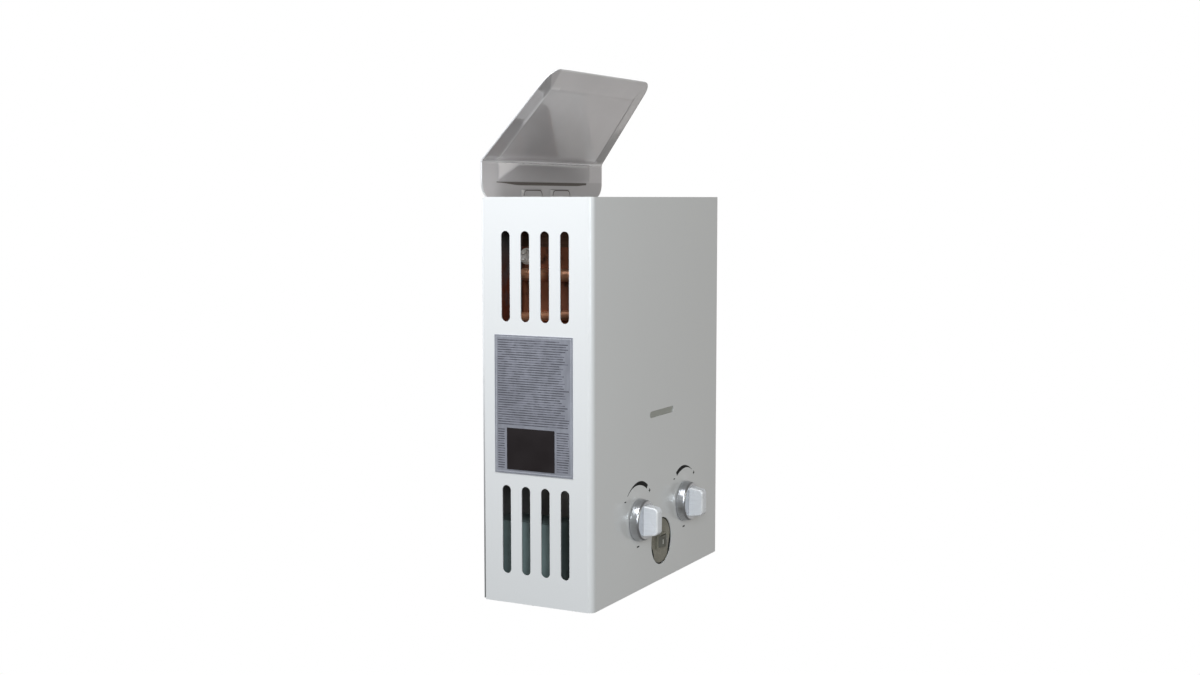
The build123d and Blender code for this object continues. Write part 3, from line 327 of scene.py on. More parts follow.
def make_heated_steel(name="heated_steel", colour=(0.47, 0.45, 0.43), straw_share=0.6):
    """Burner steel, straw and blue where the flames heat it."""
    finish = Finish(name, colour, 0.36, 1.0)
    streaks = finish.noise(45, (1, 1, 9), 4)
    base = finish.tones(finish.span(streaks, 0.4, 0.65), 1, 0.74)
    straw = finish.span(finish.noise(26, detail=5), 0.45, 0.62)
    base = finish.blend(finish.math("MULTIPLY", straw, straw_share), base, (0.3, 0.18, 0.08))
    blue = finish.span(finish.noise(19, (1.4, 1, 1), 5), 0.55, 0.7)
    base = finish.blend(finish.math("MULTIPLY", blue, 0.5), base, (0.10, 0.11, 0.17))
    base = finish.worn(base, 1.3, 0.5)
    rough = finish.span(straw, 0, 1, 0.3, 0.48)
    return finish.done(base, rough, finish.noise(800, (1, 1, 8), 2), 0.01)


def make_knob_plating(name="knob_plating", tone=1.0, metallic=0.92):
    """Satin silver plating on the knobs, brushed along the grip, rubbed by fingers."""
    colour = shade(chosen("knob"), tone)
    finish = Finish(name, colour, 0.27, metallic)
    brush = finish.noise(600, (1, 0.06, 1), 1)
    base = finish.tones(finish.span(brush, 0.3, 0.7), 0.95, 1.03)
    base = finish.worn(base, 1.3, 0.8)
    touch = finish.span(finish.noise(60, detail=1), 0.2, 0.8, 0.26, 0.3)
    return finish.done(base, touch, brush, 0.0006)


def make_plastic(name, colour, roughness, grain=900, depth=0.02, **sockets):
    """Moulded plastic: fine spark grain, slight colour drift, paler rubbed edges."""
    finish = Finish(name, colour, roughness, **sockets)
    drift = finish.span(finish.noise(40, detail=4), 0.35, 0.65)
    base = finish.tones(drift, 0.9, 1.08)
    base = finish.worn(base, 1.7, 0.35)
    rough = finish.span(drift, 0, 1, roughness * 0.85, roughness * 1.15)
    return finish.done(base, rough, finish.noise(grain, detail=2), depth)


def make_foil():
    """The side plate's matt foil, a little rubbed and stained."""
    colour = chosen("foil")
    finish = Finish("plate_foil", colour, 0.5, 0.3)
    rub = finish.span(finish.noise(70, (1, 3, 1), 6), 0.4, 0.66)
    base = finish.tones(rub, 1, 1.15)
    stain = finish.span(finish.noise(21, detail=3), 0.5, 0.72, 0, 0.5)
    base = finish.blend(stain, base, shade(colour, 0.8))
    base = finish.worn(base, 2.0, 0.8)
    rough = finish.span(rub, 0, 1, 0.42, 0.56)
    return finish.done(base, rough, finish.noise(1300, detail=2), 0.01)


def make_ceramic():
    """Glazed ceramic with fine specks, stained in patches."""
    finish = Finish("glazed_ceramic", (0.86, 0.84, 0.79), 0.22, Coat_Weight=0.5)
    specks = finish.span(finish.noise(1400, detail=2), 0.66, 0.72)
    stain = finish.span(finish.noise(120, detail=5), 0.5, 0.72, 0, 0.5)
    base = finish.blend(stain, (0.88, 0.86, 0.81), (0.66, 0.58, 0.46))
    base = finish.blend(specks, base, (0.3, 0.26, 0.2))
    rough = finish.span(stain, 0, 0.5, 0.16, 0.4)
    return finish.done(base, rough, finish.noise(500), 0.01)


def make_glass():
    """The viewing strip's smoked glass, hazed by heat."""
    finish = Finish("smoked_glass", (0.45, 0.455, 0.41), 0.4, Transmission_Weight=0.08)
    haze = finish.span(finish.noise(900, detail=3), 0.2, 0.8)
    base = finish.blend(haze, (0.41, 0.415, 0.37), (0.485, 0.49, 0.44))
    rough = finish.span(haze, 0, 1, 0.35, 0.5)
    return finish.done(base, rough, finish.noise(260), 0.01)


def make_cell_jacket():
    """A dry cell: dark jacket with a gold band, and bare metal at both ends."""
    low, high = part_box("battery_cells")
    dark, gold, bare = (0.03, 0.035, 0.05), (0.62, 0.42, 0.14), (0.62, 0.62, 0.63)
    gloss = 0.34
    finish = Finish("cell_jacket", dark, gloss)
    z = finish.along("Z")
    band = finish.span(z, low.z + 44 * MM, low.z + 44.4 * MM)
    scuff = finish.span(finish.noise(240, detail=5), 0.5, 0.75, 0, 0.3)
    base = finish.blend(band, dark, gold)
    base = finish.blend(scuff, base, (0.3, 0.3, 0.3))
    cap = finish.span(z, high.z - 3 * MM, high.z - 2.7 * MM)
    foot = finish.span(z, low.z + 1.2 * MM, low.z + 1.0 * MM)
    metal = finish.math("MAXIMUM", cap, foot)
    base = finish.blend(metal, base, bare)
    return finish.done(base, gloss, finish.noise(600), 0.01, metallic=metal)


def make_ink(name, colour, patchy=0.0):
    """Printed ink with slightly uneven cover, worn pale in patches where asked."""
    matt = 0.6
    finish = Finish(name, colour, matt, Specular_IOR_Level=0.2)
    cover = finish.span(finish.noise(1800, detail=4), 0.4, 0.75)
    base = finish.tones(cover, 1, 1.5)
    thin = finish.span(finish.noise(260, (1, 0.5, 1), 3), 0.48, 0.62, 0, patchy)
    base = finish.blend(thin, base, shade(colour, 2.6))
    return finish.done(base, matt, finish.noise(2500), 0.004)


MAKERS = {
    "cover_paint": make_enamel,
    "plate_zinc": lambda: make_sheet_metal(
        "zinc_sheet", (0.44, 0.44, 0.44), 0.3, 0.45, metallic=0.7
    ),
    "deflector_sheet": make_deflector_sheet,
    "label_silver": make_foil,
    "label_dark": lambda: make_plastic(
        "dark_label", (0.018, 0.014, 0.0145), 0.5, 500, 0.01, Specular_IOR_Level=0.3
    ),
    "copper": make_copper,
    "burner_steel": make_heated_steel,
    "brass": make_brass,
    "aluminium_cast": lambda: make_cast("cast_aluminium", (0.60, 0.61, 0.62), 700, 1.0, 0.05),
    "rubber": lambda: make_plastic("rubber", (0.03, 0.03, 0.03), 0.7, 500, 0.03),
    "knob_silver": make_knob_plating,
    "switch_olive": lambda: make_cast("olive_plating", (0.35, 0.335, 0.275), 600, 0.45, 0.015),
    "rocker_dark": lambda: make_plastic("rocker_plastic", (0.16, 0.155, 0.13), 0.38),
    "black_plastic": lambda: make_plastic("black_plastic", (0.022, 0.022, 0.024), 0.45),
    "box_green": lambda: make_plastic("box_plastic", (0.17, 0.22, 0.215), 0.5),
    "white_ceramic": make_ceramic,
    "mica_glass": make_glass,
    "lead_silicone": lambda: make_plastic("silicone", (0.36, 0.03, 0.025), 0.5, 700, 0.03),
    "screw_steel": lambda: make_sheet_metal("screw_steel", (0.6, 0.6, 0.62), 0.22, 0.4, 500),
    "cell_jacket": make_cell_jacket,
    "spring_steel": lambda: make_sheet_metal("spring_steel", (0.4, 0.4, 0.42), 0.2, 0.35, 700),
    # Finishes that part of a slot's pieces take instead
    # Painted light: the grip takes the knob plating 1.4 times paler and hardly metallic, so that
    # it reads brighter than the skirt
    "grip_silver": lambda: make_knob_plating("grip_plating", 1.4, 0.12),
    "wall_plate": make_wall_plate,
    "hood_steel": lambda: make_heated_steel("hood_steel", (0.34, 0.2, 0.15), 0.3),
    "pipe_copper": lambda: make_copper("pipe_copper", "pipe", 0.22, 0.4),
    "plate_ink": lambda: make_ink("plate_ink", (0.09, 0.09, 0.105), 0.7),
    "border_ink": lambda: make_ink("border_ink", (0.42, 0.43, 0.46)),
    "dial_ink": lambda: make_ink("dial_ink", chosen("ink")),
    # Painted shade along the deflector's crease and round its tongues
    "fold_dirt": lambda: make_ink("fold_dirt", (0.12, 0.105, 0.095)),
    "mark_paint": lambda: make_ink("mark_paint", (0.55, 0.54, 0.49)),
    # Painted shade: near-black paint where the burner's ports and the switch plate's gap would
    # only be dark holes
    "port_soot": lambda: make_ink("port_soot", (0.008, 0.007, 0.007)),
}
FINISH_OF = {
    "top_panel": "cover_paint", "back_plate": "wall_plate", "smoke_hood": "hood_steel",
    "exchanger_tube": "pipe_copper", "wrap_coil": "pipe_copper",
    "cold_pipe": "pipe_copper", "hot_pipe": "pipe_copper",
}
made = {}


def finish_of(name):
    """The material of a slot or a named finish, made the first time it is asked for."""
    if name not in made:
        made[name] = MAKERS[name]()
    return made[name]


def node_finish(node):
    """The material of a node: its own finish, or its slot's."""
    return finish_of(FINISH_OF.get(node, slots[node]))


# Mesh helpers

def stand(name, data):
    """A new object in the scene."""
    thing = bpy.data.objects.new(name, data)
    bpy.context.scene.collection.objects.link(thing)
    return thing


def add_piece(name, mesh, node, finish=None, replaced=()):
    """Puts a finished mesh on a node's body and slot, and hides the nodes it stands for."""
    mesh.name = name
    piece = stand(name, mesh)
    mesh.materials.clear()
    mesh.materials.append(finish_of(finish) if finish else node_finish(node))
    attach(piece, bodies.get(node, "case"))
    if replaced:
        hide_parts(*replaced)
    return piece


def mesh_from(work, sharp=SHARP):
    """A mesh from a working one, smooth except over sharp edges."""
    mesh = bpy.data.meshes.new("piece")
    work.to_mesh(mesh)
    work.free()
    for face in mesh.polygons:
        face.use_smooth = True
    mesh.set_sharp_from_angle(angle=sharp)
    return mesh


def node_copy(node):
    """A node's mesh as a working copy, its triangles merged into whole faces."""
    work = bmesh.new()
    work.from_mesh(nodes[node].data)
    bmesh.ops.remove_doubles(work, verts=work.verts, dist=WELD)
    bmesh.ops.dissolve_limit(work, angle_limit=FLAT, verts=work.verts, edges=work.edges)
    return work


def soften(work, width, steps=2):
    """Rounds the sharp edges and marks them, so that a finish can wear there."""
    layer = work.faces.layers.float.new("edge")
    edges = [e for e in work.edges if e.is_manifold and e.calc_face_angle(0) > SHARP]
    result = bmesh.ops.bevel(
        work, geom=edges, offset=width, offset_type="OFFSET", segments=steps,
        profile=0.5, affect="EDGES", clamp_overlap=True,
    )
    for face in result["faces"]:
        face[layer] = 1.0


def keep_flats(piece):
    """Weighs the normals by face size, so that flats stay flat beside rounded edges."""
    piece.modifiers.new("flats", "WEIGHTED_NORMAL").keep_sharp = True


def softened_node(node, width, steps=2, change=None):
    """Replaces a node with a copy of itself that has softened edges."""
    work = node_copy(node)
    if change:
        change(work)
    if width:
        soften(work, width * MM, steps)
    keep_flats(add_piece(f"{node}_piece", mesh_from(work), node, None, (node,)))


def box_middle(node):
    """The middle of a node's box."""
    low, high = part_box(node)
    return (low + high) / 2


def turned(profile, count=64):
    """A closed turned shape about the Z axis, from (radius, height) along its outline."""
    work = bmesh.new()
    rings = []
    for radius, height in profile:
        if radius < WELD:
            rings.append([work.verts.new((0, 0, height))])
            continue
        angles = [2 * pi * i / count for i in range(count)]
        rings.append([work.verts.new((radius * cos(a), radius * sin(a), height)) for a in angles])
    for first, second in zip(rings, rings[1:]):
        for i in range(count):
            j = (i + 1) % count
            corners = [first[i % len(first)], first[j % len(first)],
                       second[j % len(second)], second[i % len(second)]]
            corners = list(dict.fromkeys(corners))
            if len(corners) > 2:
                work.faces.new(corners)
    bmesh.ops.recalc_face_normals(work, faces=work.faces)
    return work


def bridge(work, rings):
    """Faces between each closed ring of points and the next."""
    faces = []
    for first, second in zip(rings, rings[1:]):
        for i in range(len(first)):
            j = (i + 1) % len(first)
            faces.append(work.faces.new((first[i], first[j], second[j], second[i])))
    return faces


def slab(work, corners, depth):
    """A closed thin slab: a flat outline of corners, pushed along a depth vector."""
    near = [work.verts.new(c) for c in corners]
    far = [work.verts.new(c + depth) for c in corners]
    faces = [work.faces.new(near), work.faces.new(list(reversed(far)))]
    bmesh.ops.recalc_face_normals(work, faces=faces + bridge(work, [near, far]))


def ribbon(work, rows, depth):
    """A closed thin ribbon: pairs of points along its two edges, pushed along a depth vector."""
    rings = [
        [work.verts.new(p) for p in (a, b, b + depth, a + depth)] for a, b in rows
    ]
    faces = [work.faces.new(rings[0]), work.faces.new(rings[-1])]
    bmesh.ops.recalc_face_normals(work, faces=faces + bridge(work, rings))


def arc_rows(centre, radius, angles, width_at, across=Vector((1, 0, 0))):
    """Pairs of points along an arc; an angle of 0 is straight up and grows to the right."""
    rows = []
    for i, angle in enumerate(angles):
        out = across * sin(angle) + Vector((0, 0, cos(angle)))
        half = width_at(i / (len(angles) - 1)) / 2
        rows.append((centre + out * (radius - half), centre + out * (radius + half)))
    return rows


def spread(start, end, steps):
    """Even values from start to end."""
    return [start + (end - start) * i / steps for i in range(steps + 1)]


def smooth_step(value):
    """0 below 0, 1 above 1, with a soft rise between."""
    share = min(1.0, max(0.0, value))
    return share * share * (3 - 2 * share)


# Geometry nodes

class Tree:
    """A geometry nodes tree with named inputs, that ends in real, painted copies."""

    def __init__(self, name, **inputs):
        self.tree = bpy.data.node_groups.new(name, "GeometryNodeTree")
        face = self.tree.interface
        face.new_socket("Geometry", in_out="OUTPUT", socket_type="NodeSocketGeometry")
        face.new_socket("Seeds", in_out="INPUT", socket_type="NodeSocketGeometry")
        for label, kind in {**inputs, "Paint": "Material"}.items():
            face.new_socket(label, in_out="INPUT", socket_type=f"NodeSocket{kind}")
        self.given = self.tree.nodes.new("NodeGroupInput").outputs

    def add(self, kind, feeds=None, **settings):
        """A node with settings, and values or links for its inputs."""
        node = self.tree.nodes.new(kind)
        for name, value in settings.items():
            setattr(node, name, value)
        for socket, value in (feeds or {}).items():
            feed(self.tree, node.inputs[socket], value)
        return node.outputs[0]

    def random(self, least, most):
        """A random number for each copy, drawn with the tree's seed."""
        pick = self.tree.nodes.new("FunctionNodeRandomValue")
        pick.data_type = "FLOAT"
        for socket, value in ((2, least), (3, most), ("Seed", self.given["Seed"])):
            feed(self.tree, pick.inputs[socket], value)
        return pick.outputs[1]

    def finish(self, geometry):
        """Realizes the copies, paints them and links the output."""
        real = self.add("GeometryNodeRealizeInstances", {0: geometry})
        paint = self.add(
            "GeometryNodeSetMaterial", {"Geometry": real, "Material": self.given["Paint"]}
        )
        out = self.tree.nodes.new("NodeGroupOutput")
        self.tree.links.new(paint, out.inputs[0])
        return self.tree


def rows_tree():
    """Evenly stepped bars, each cut short by a random share up to the given one."""
    tree = Tree(
        "rows", Count="Int", Step="Vector", Bar="Vector", Shorten="Float", Seed="Int"
    )
    given = tree.given
    places = tree.add("GeometryNodeMeshLine", {"Count": given["Count"], "Offset": given["Step"]})
    bar = tree.add("GeometryNodeMeshCube", {"Size": given["Bar"]})
    half = tree.add(
        "ShaderNodeVectorMath", {0: given["Bar"], 1: (0.5, 0, 0)}, operation="MULTIPLY"
    )
    bar = tree.add("GeometryNodeTransform", {"Geometry": bar, "Translation": half})
    least = tree.add("ShaderNodeMath", {0: 1.0, 1: given["Shorten"]}, operation="SUBTRACT")
    size = tree.add("ShaderNodeCombineXYZ", {0: tree.random(least, 1.0), 1: 1.0, 2: 1.0})
    copies = tree.add(
        "GeometryNodeInstanceOnPoints", {"Points": places, "Instance": bar, "Scale": size}
    )
    return tree.finish(copies)


def helix_tree():
    """A wire or ridge wound about the Z axis, upwards from the origin."""
    tree = Tree(
        "helix", Turns="Float", Radius="Float", Height="Float", Wire="Float", Sides="Int"
    )
    given = tree.given
    line = tree.add("GeometryNodeCurveSpiral", {
        "Resolution": 48, "Rotations": given["Turns"], "Start Radius": given["Radius"],
        "End Radius": given["Radius"], "Height": given["Height"],
    })
    line = tree.add("GeometryNodeSetCurveNormal", {"Curve": line}, mode="Z_UP")
    outline = tree.add(
        "GeometryNodeCurvePrimitiveCircle",
        {"Resolution": given["Sides"], "Radius": given["Wire"]},
    )
    wire = tree.add(
        "GeometryNodeCurveToMesh", {"Curve": line, "Profile Curve": outline, "Fill Caps": True}
    )
    return tree.finish(wire)


def scatter_tree():
    """A template on each seed point, turned about Z by a random angle."""
    tree = Tree("turned_copies", Template="Object", Seed="Int")
    given = tree.given
    info = tree.tree.nodes.new("GeometryNodeObjectInfo")
    tree.tree.links.new(given["Template"], info.inputs["Object"])
    turn = tree.add("ShaderNodeCombineXYZ", {2: tree.random(0.0, 2 * pi)})
    copies = tree.add("GeometryNodeInstanceOnPoints", {
        "Points": given["Seeds"], "Instance": info.outputs["Geometry"], "Rotation": turn,
    })
    return tree.finish(copies)


def grow(tree, values, seeds=()):
    """Runs a tree with named values on seed points, and returns its plain mesh."""
    mesh = bpy.data.meshes.new("seeds")
    mesh.from_pydata([tuple(p) for p in seeds], [], [])
    grower = stand("grower", mesh)
    modifier = grower.modifiers.new("grow", "NODES")
    modifier.node_group = tree
    sockets = {s.name: s.identifier for s in tree.interface.items_tree if s.in_out == "INPUT"}
    for name, value in values.items():
        modifier[sockets[name]] = value
    bpy.context.view_layer.update()
    graph = bpy.context.evaluated_depsgraph_get()
    result = bpy.data.meshes.new_from_object(grower.evaluated_get(graph))
    grower.modifiers.remove(modifier)
    bpy.data.objects.remove(grower)
    return result


def placed(mesh, matrix):
    """A working copy of a mesh, moved by a matrix, with its faces outwards."""
    work = bmesh.new()
    work.from_mesh(mesh)
    bpy.data.meshes.remove(mesh)
    bmesh.ops.transform(work, matrix=matrix, verts=work.verts)
    bmesh.ops.recalc_face_normals(work, faces=work.faces)
    return work


def joined(works):
    """One working mesh from several."""
    whole = bmesh.new()
    for work in works:
        mesh = bpy.data.meshes.new("part")
        work.to_mesh(mesh)
        work.free()
        whole.from_mesh(mesh)
        bpy.data.meshes.remove(mesh)
    return whole


# Settings

def colour_setting(name, description, default):
    """A colour that a user can change."""
    return FloatVectorProperty(
        name=name, description=description, subtype="COLOR", default=default
    )


def length_setting(name, description, millimetres):
    """A length that a user can change."""
    return FloatProperty(
        name=name, description=description, default=millimetres * MM,
        unit="LENGTH", precision=5,
    )


def angle_setting(name, description, degrees):
    """An angle that a user can change."""
    return FloatProperty(
        name=name, description=description, default=radians(degrees), subtype="ANGLE"
    )


def power_setting(name, description, default):
    """A light's power that a user can change."""
    return FloatProperty(name=name, description=description, default=default, unit="POWER")


class HeaterColours(bpy.types.PropertyGroup):
    """Base colours of the main finishes."""

    enamel: colour_setting("Enamel", "Case enamel", (0.80, 0.80, 0.79))
    deflector: colour_setting("Deflector", "Deflector sheet", (0.70, 0.672, 0.675))
    shell: colour_setting("Fired copper", "Exchanger shell", (0.40, 0.155, 0.085))
    pipe: colour_setting("Pipe copper", "Water pipes", (0.62, 0.30, 0.17))
    brass: colour_setting("Brass", "Valves and fittings", (0.66, 0.49, 0.21))
    knob: colour_setting("Knobs", "Knob plating", (0.66, 0.67, 0.69))
    foil: colour_setting("Plate foil", "Side plate", (0.31, 0.315, 0.355))
    ink: colour_setting("Ink", "Dial print", (0.006, 0.006, 0.006))


class HeaterSizes(bpy.types.PropertyGroup):
    """Sizes of the details that the frame leaves to the looks."""

    cover_edge: length_setting("Cover edge", "Rounding of the cover's cut edges", 0.45)
    lean: angle_setting("Lean", "The deflector plate's lean forward", 39)
    pan_depth: length_setting("Pan depth", "Depth of the deflector's pressed pan", 3)
    dial_radius: length_setting("Dial radius", "Middle radius of the dial arcs", 36)
    dial_width: length_setting("Dial width", "Width of a dial arc at its thick end", 4.4)
    grip_corner: length_setting("Grip corner", "Rounding of a grip's front ends", 4.2)
    rule_pitch: length_setting("Rule pitch", "Pitch of the lines on the side plate", 2.3)
    thread_pitch: length_setting("Thread pitch", "Pitch of the pipe threads", 1.814)
    spring_turns: IntProperty(
        name="Spring turns", description="Turns of the valve's return spring", default=7
    )


class HeaterStudio(bpy.types.PropertyGroup):
    """The studio's light and the camera's place."""

    ambient: FloatProperty(name="Ambient", description="Strength of the sky light", default=0.125)
    sun: FloatProperty(name="Sun", description="Strength of the light from behind", default=0.9)
    key: power_setting("Key", "Power of the upper left light", 16.5)
    front: power_setting("Front", "Power of the wide light in front", 5.5)
    card: power_setting("Card", "Power of the white card on the right", 2.9)
    strip: power_setting("Strip", "Power of the tall light in front on the left", 16.0)
    lamp: power_setting("Lamp", "Power of the small light by the camera", 6.2)
    lens: FloatProperty(name="Lens", description="Focal length in millimetres", default=46.02)
    turn: angle_setting("Turn", "Camera's turn to the right", 62.45)
    tilt: angle_setting("Tilt", "Camera's tilt downwards", 5.19)
    place: FloatVectorProperty(
        name="Camera place", description="Where the camera stands", subtype="TRANSLATION",
        default=(-1.3949, -0.7785, 0.0288), precision=4,
    )


class HeaterOperator:
    """What every operator here shares."""

    bl_options = {"REGISTER", "UNDO"}


# Studio

# Place, width and height, and colour of each soft light; its power is a setting
SOFT_LIGHTS = {
    "key": ((-0.75, 0.12, 0.85), (0.7, 0.7), (0.93, 0.96, 1.0)),
    "front": ((-0.3, -2.1, 0.5), (1.0, 1.0), (1.0, 0.96, 0.86)),
    "card": ((1.74, -0.71, -0.45), (1.5, 1.5), (1.0, 0.98, 0.96)),
    "strip": ((-2.0, -1.65, 0.45), (0.3, 1.6), (0.82, 0.92, 1.0)),
    "lamp": ((-1.5, -0.85, 0.25), (0.3, 0.3), (0.92, 0.96, 1.0)),
}


class HEATER_OT_studio(HeaterOperator, bpy.types.Operator):
    """Camera, sky and lights; the heater hangs free before a white sky"""

    bl_idname = "heater.studio"
    bl_label = "Studio"

    sky_colour = (1.0, 0.985, 0.955, 1)
    sun_colour = (1.0, 0.985, 0.96)
    sun_spread = radians(50)
    sun_turn = (radians(-33), radians(18), 0)

    def execute(self, context):
        scene = context.scene
        studio = scene.heater_studio
        data = bpy.data.cameras.new("camera")
        data.lens = studio.lens
        camera = stand("camera", data)
        camera.location = studio.place
        camera.rotation_euler = (pi / 2 - studio.tilt, 0, -studio.turn)
        scene.camera = camera
        scene.view_settings.view_transform = "Standard"
        self.hang_sky(scene, studio)
        middle = box_middle("front_cover")
        for name, (place, size, colour) in SOFT_LIGHTS.items():
            data = bpy.data.lights.new(name, "AREA")
            data.shape = "RECTANGLE"
            data.size, data.size_y = size
            data.energy = getattr(studio, name)
            data.color = colour
            light = stand(name, data)
            light.location = place
            light.rotation_euler = (middle - Vector(place)).to_track_quat("-Z", "Y").to_euler()
        data = bpy.data.lights.new("sun", "SUN")
        data.energy = studio.sun
        data.angle = self.sun_spread
        data.color = self.sun_colour
        stand("sun", data).rotation_euler = self.sun_turn
        return {"FINISHED"}

    def hang_sky(self, scene, studio):
        """A white backdrop that lights the object with less than its own brightness."""
        world = bpy.data.worlds.new("studio")
        world.use_nodes = True
        scene.world = world
        tree = world.node_tree
        sky = tree.nodes["Background"]
        sky.inputs["Color"].default_value = self.sky_colour
        sky.inputs["Strength"].default_value = studio.ambient
        backdrop = tree.nodes.new("ShaderNodeBackground")
        backdrop.inputs["Color"].default_value = (1, 1, 1, 1)
        path = tree.nodes.new("ShaderNodeLightPath")
        mix = tree.nodes.new("ShaderNodeMixShader")
        tree.links.new(path.outputs["Is Camera Ray"], mix.inputs["Fac"])
        tree.links.new(sky.outputs[0], mix.inputs[1])
        tree.links.new(backdrop.outputs[0], mix.inputs[2])
        tree.links.new(mix.outputs[0], tree.nodes["World Output"].inputs["Surface"])


# Leads

# The routes of the two leads in millimetres, from their electrode to the igniter box
LEAD_ROUTES = {
    "ignition_lead": (
        (20, -104, -156), (20, -112, -156), (95.95, -112, -181), (95.95, -42, -181),
    ),
    "sensor_lead": (
        (-60, -104, -150), (-60, -112, -150), (103.95, -112, -197), (103.95, -42, -197),
    ),
}
LEAD_RADIUS = 1.5 * MM


class HEATER_OT_leads(HeaterOperator, bpy.types.Operator):
    """The two silicone leads from the electrodes to the igniter box"""

    bl_idname = "heater.leads"
    bl_label = "Leads"

    def execute(self, context):
        for node, route in LEAD_ROUTES.items():
            curve = bpy.data.curves.new(f"{node}_cord", "CURVE")
            curve.dimensions = "3D"
            curve.bevel_depth = LEAD_RADIUS
            curve.bevel_resolution = 4
            curve.resolution_u = 16
            curve.use_fill_caps = True
            spline = curve.splines.new("NURBS")
            spline.points.add(len(route) - 1)
            for point, place in zip(spline.points, route):
                point.co = (*(Vector(place) * MM), 1)
            spline.order_u = 3
            spline.use_endpoint_u = True
            curve.materials.append(finish_of(slots[node]))
            cord = stand(f"{node}_cord", curve)
            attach(cord, "case")
            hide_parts(node)
        return {"FINISHED"}


# Case

class HEATER_OT_case(HeaterOperator, bpy.types.Operator):
    """Enamelled cover, roof, floor, wall plate and side plate"""

    bl_idname = "heater.case"
    bl_label = "Case"

    def execute(self, context):
        softened_node("front_cover", context.scene.heater_sizes.cover_edge / MM, 3)
        for node in ("back_plate", "top_panel", "bottom_panel", "data_plate", "data_plate_field"):
            softened_node(node, EDGES[node])
        return {"FINISHED"}


class HEATER_OT_side_print(HeaterOperator, bpy.types.Operator):
    """Border and plain ruled rows on the side plate"""

    bl_idname = "heater.side_print"
    bl_label = "Side plate print"

    margin = 3.6 * MM
    gap = 2.2 * MM
    line = 0.5 * MM
    row_height = 1.0 * MM
    # The largest share of its length that a row is cut short by
    shorten = 0.14

    def execute(self, context):
        pitch = context.scene.heater_sizes.rule_pitch
        low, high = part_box("data_plate")
        field_low, field_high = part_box("data_plate_field")
        tree = rows_tree()
        left, right = low.y + self.margin, high.y - self.margin
        bottom, middle, top = low.z + self.margin, field_high.z + self.gap, high.z - self.margin
        areas = (
            (left, right, middle, top),
            (left, field_low.y - self.gap, bottom, middle - self.gap),
            (field_high.y + self.gap, right, bottom, middle - self.gap),
        )
        # The tree's X runs to the right across the plate, which is -Y
        onto = Matrix(((0, 0, -1, 0), (-1, 0, 0, 0), (0, 1, 0, 0), (0, 0, 0, 1)))
        works = []
        for seed, (near, far, floor, roof) in enumerate(areas):
            count = int((roof - floor) / pitch)
            bars = grow(tree, {
                "Count": count, "Step": (0, pitch, 0),
                "Bar": (far - near, self.row_height, 2 * PRINT),
                "Shorten": self.shorten, "Seed": seed, "Paint": finish_of("plate_ink"),
            })
            start = floor + (roof - floor - (count - 1) * pitch) / 2
            works.append(placed(bars, Matrix.Translation((low.x, far, start)) @ onto))
        add_piece("side_plate_rows", mesh_from(joined(works)), "data_plate_field", "plate_ink")
        border = self.border(low, high)
        add_piece("side_plate_border", mesh_from(border), "data_plate_field", "border_ink")
        return {"FINISHED"}

    def border(self, low, high):
        """A thin printed frame just inside the plate's edges."""
        work = bmesh.new()
        rings = []
        for i, j in SQUARE:
            ring = []
            for inset, lift in ((-1, -1), (-1, 1), (1, 1), (1, -1)):
                reach = (self.margin + inset * self.line) / 2
                y = high.y - reach if i > 0 else low.y + reach
                z = high.z - reach if j > 0 else low.z + reach
                ring.append(work.verts.new((low.x + lift * PRINT, y, z)))
            rings.append(ring)
        bmesh.ops.recalc_face_normals(work, faces=bridge(work, rings + rings[:1]))
        return work


# Flue deflector

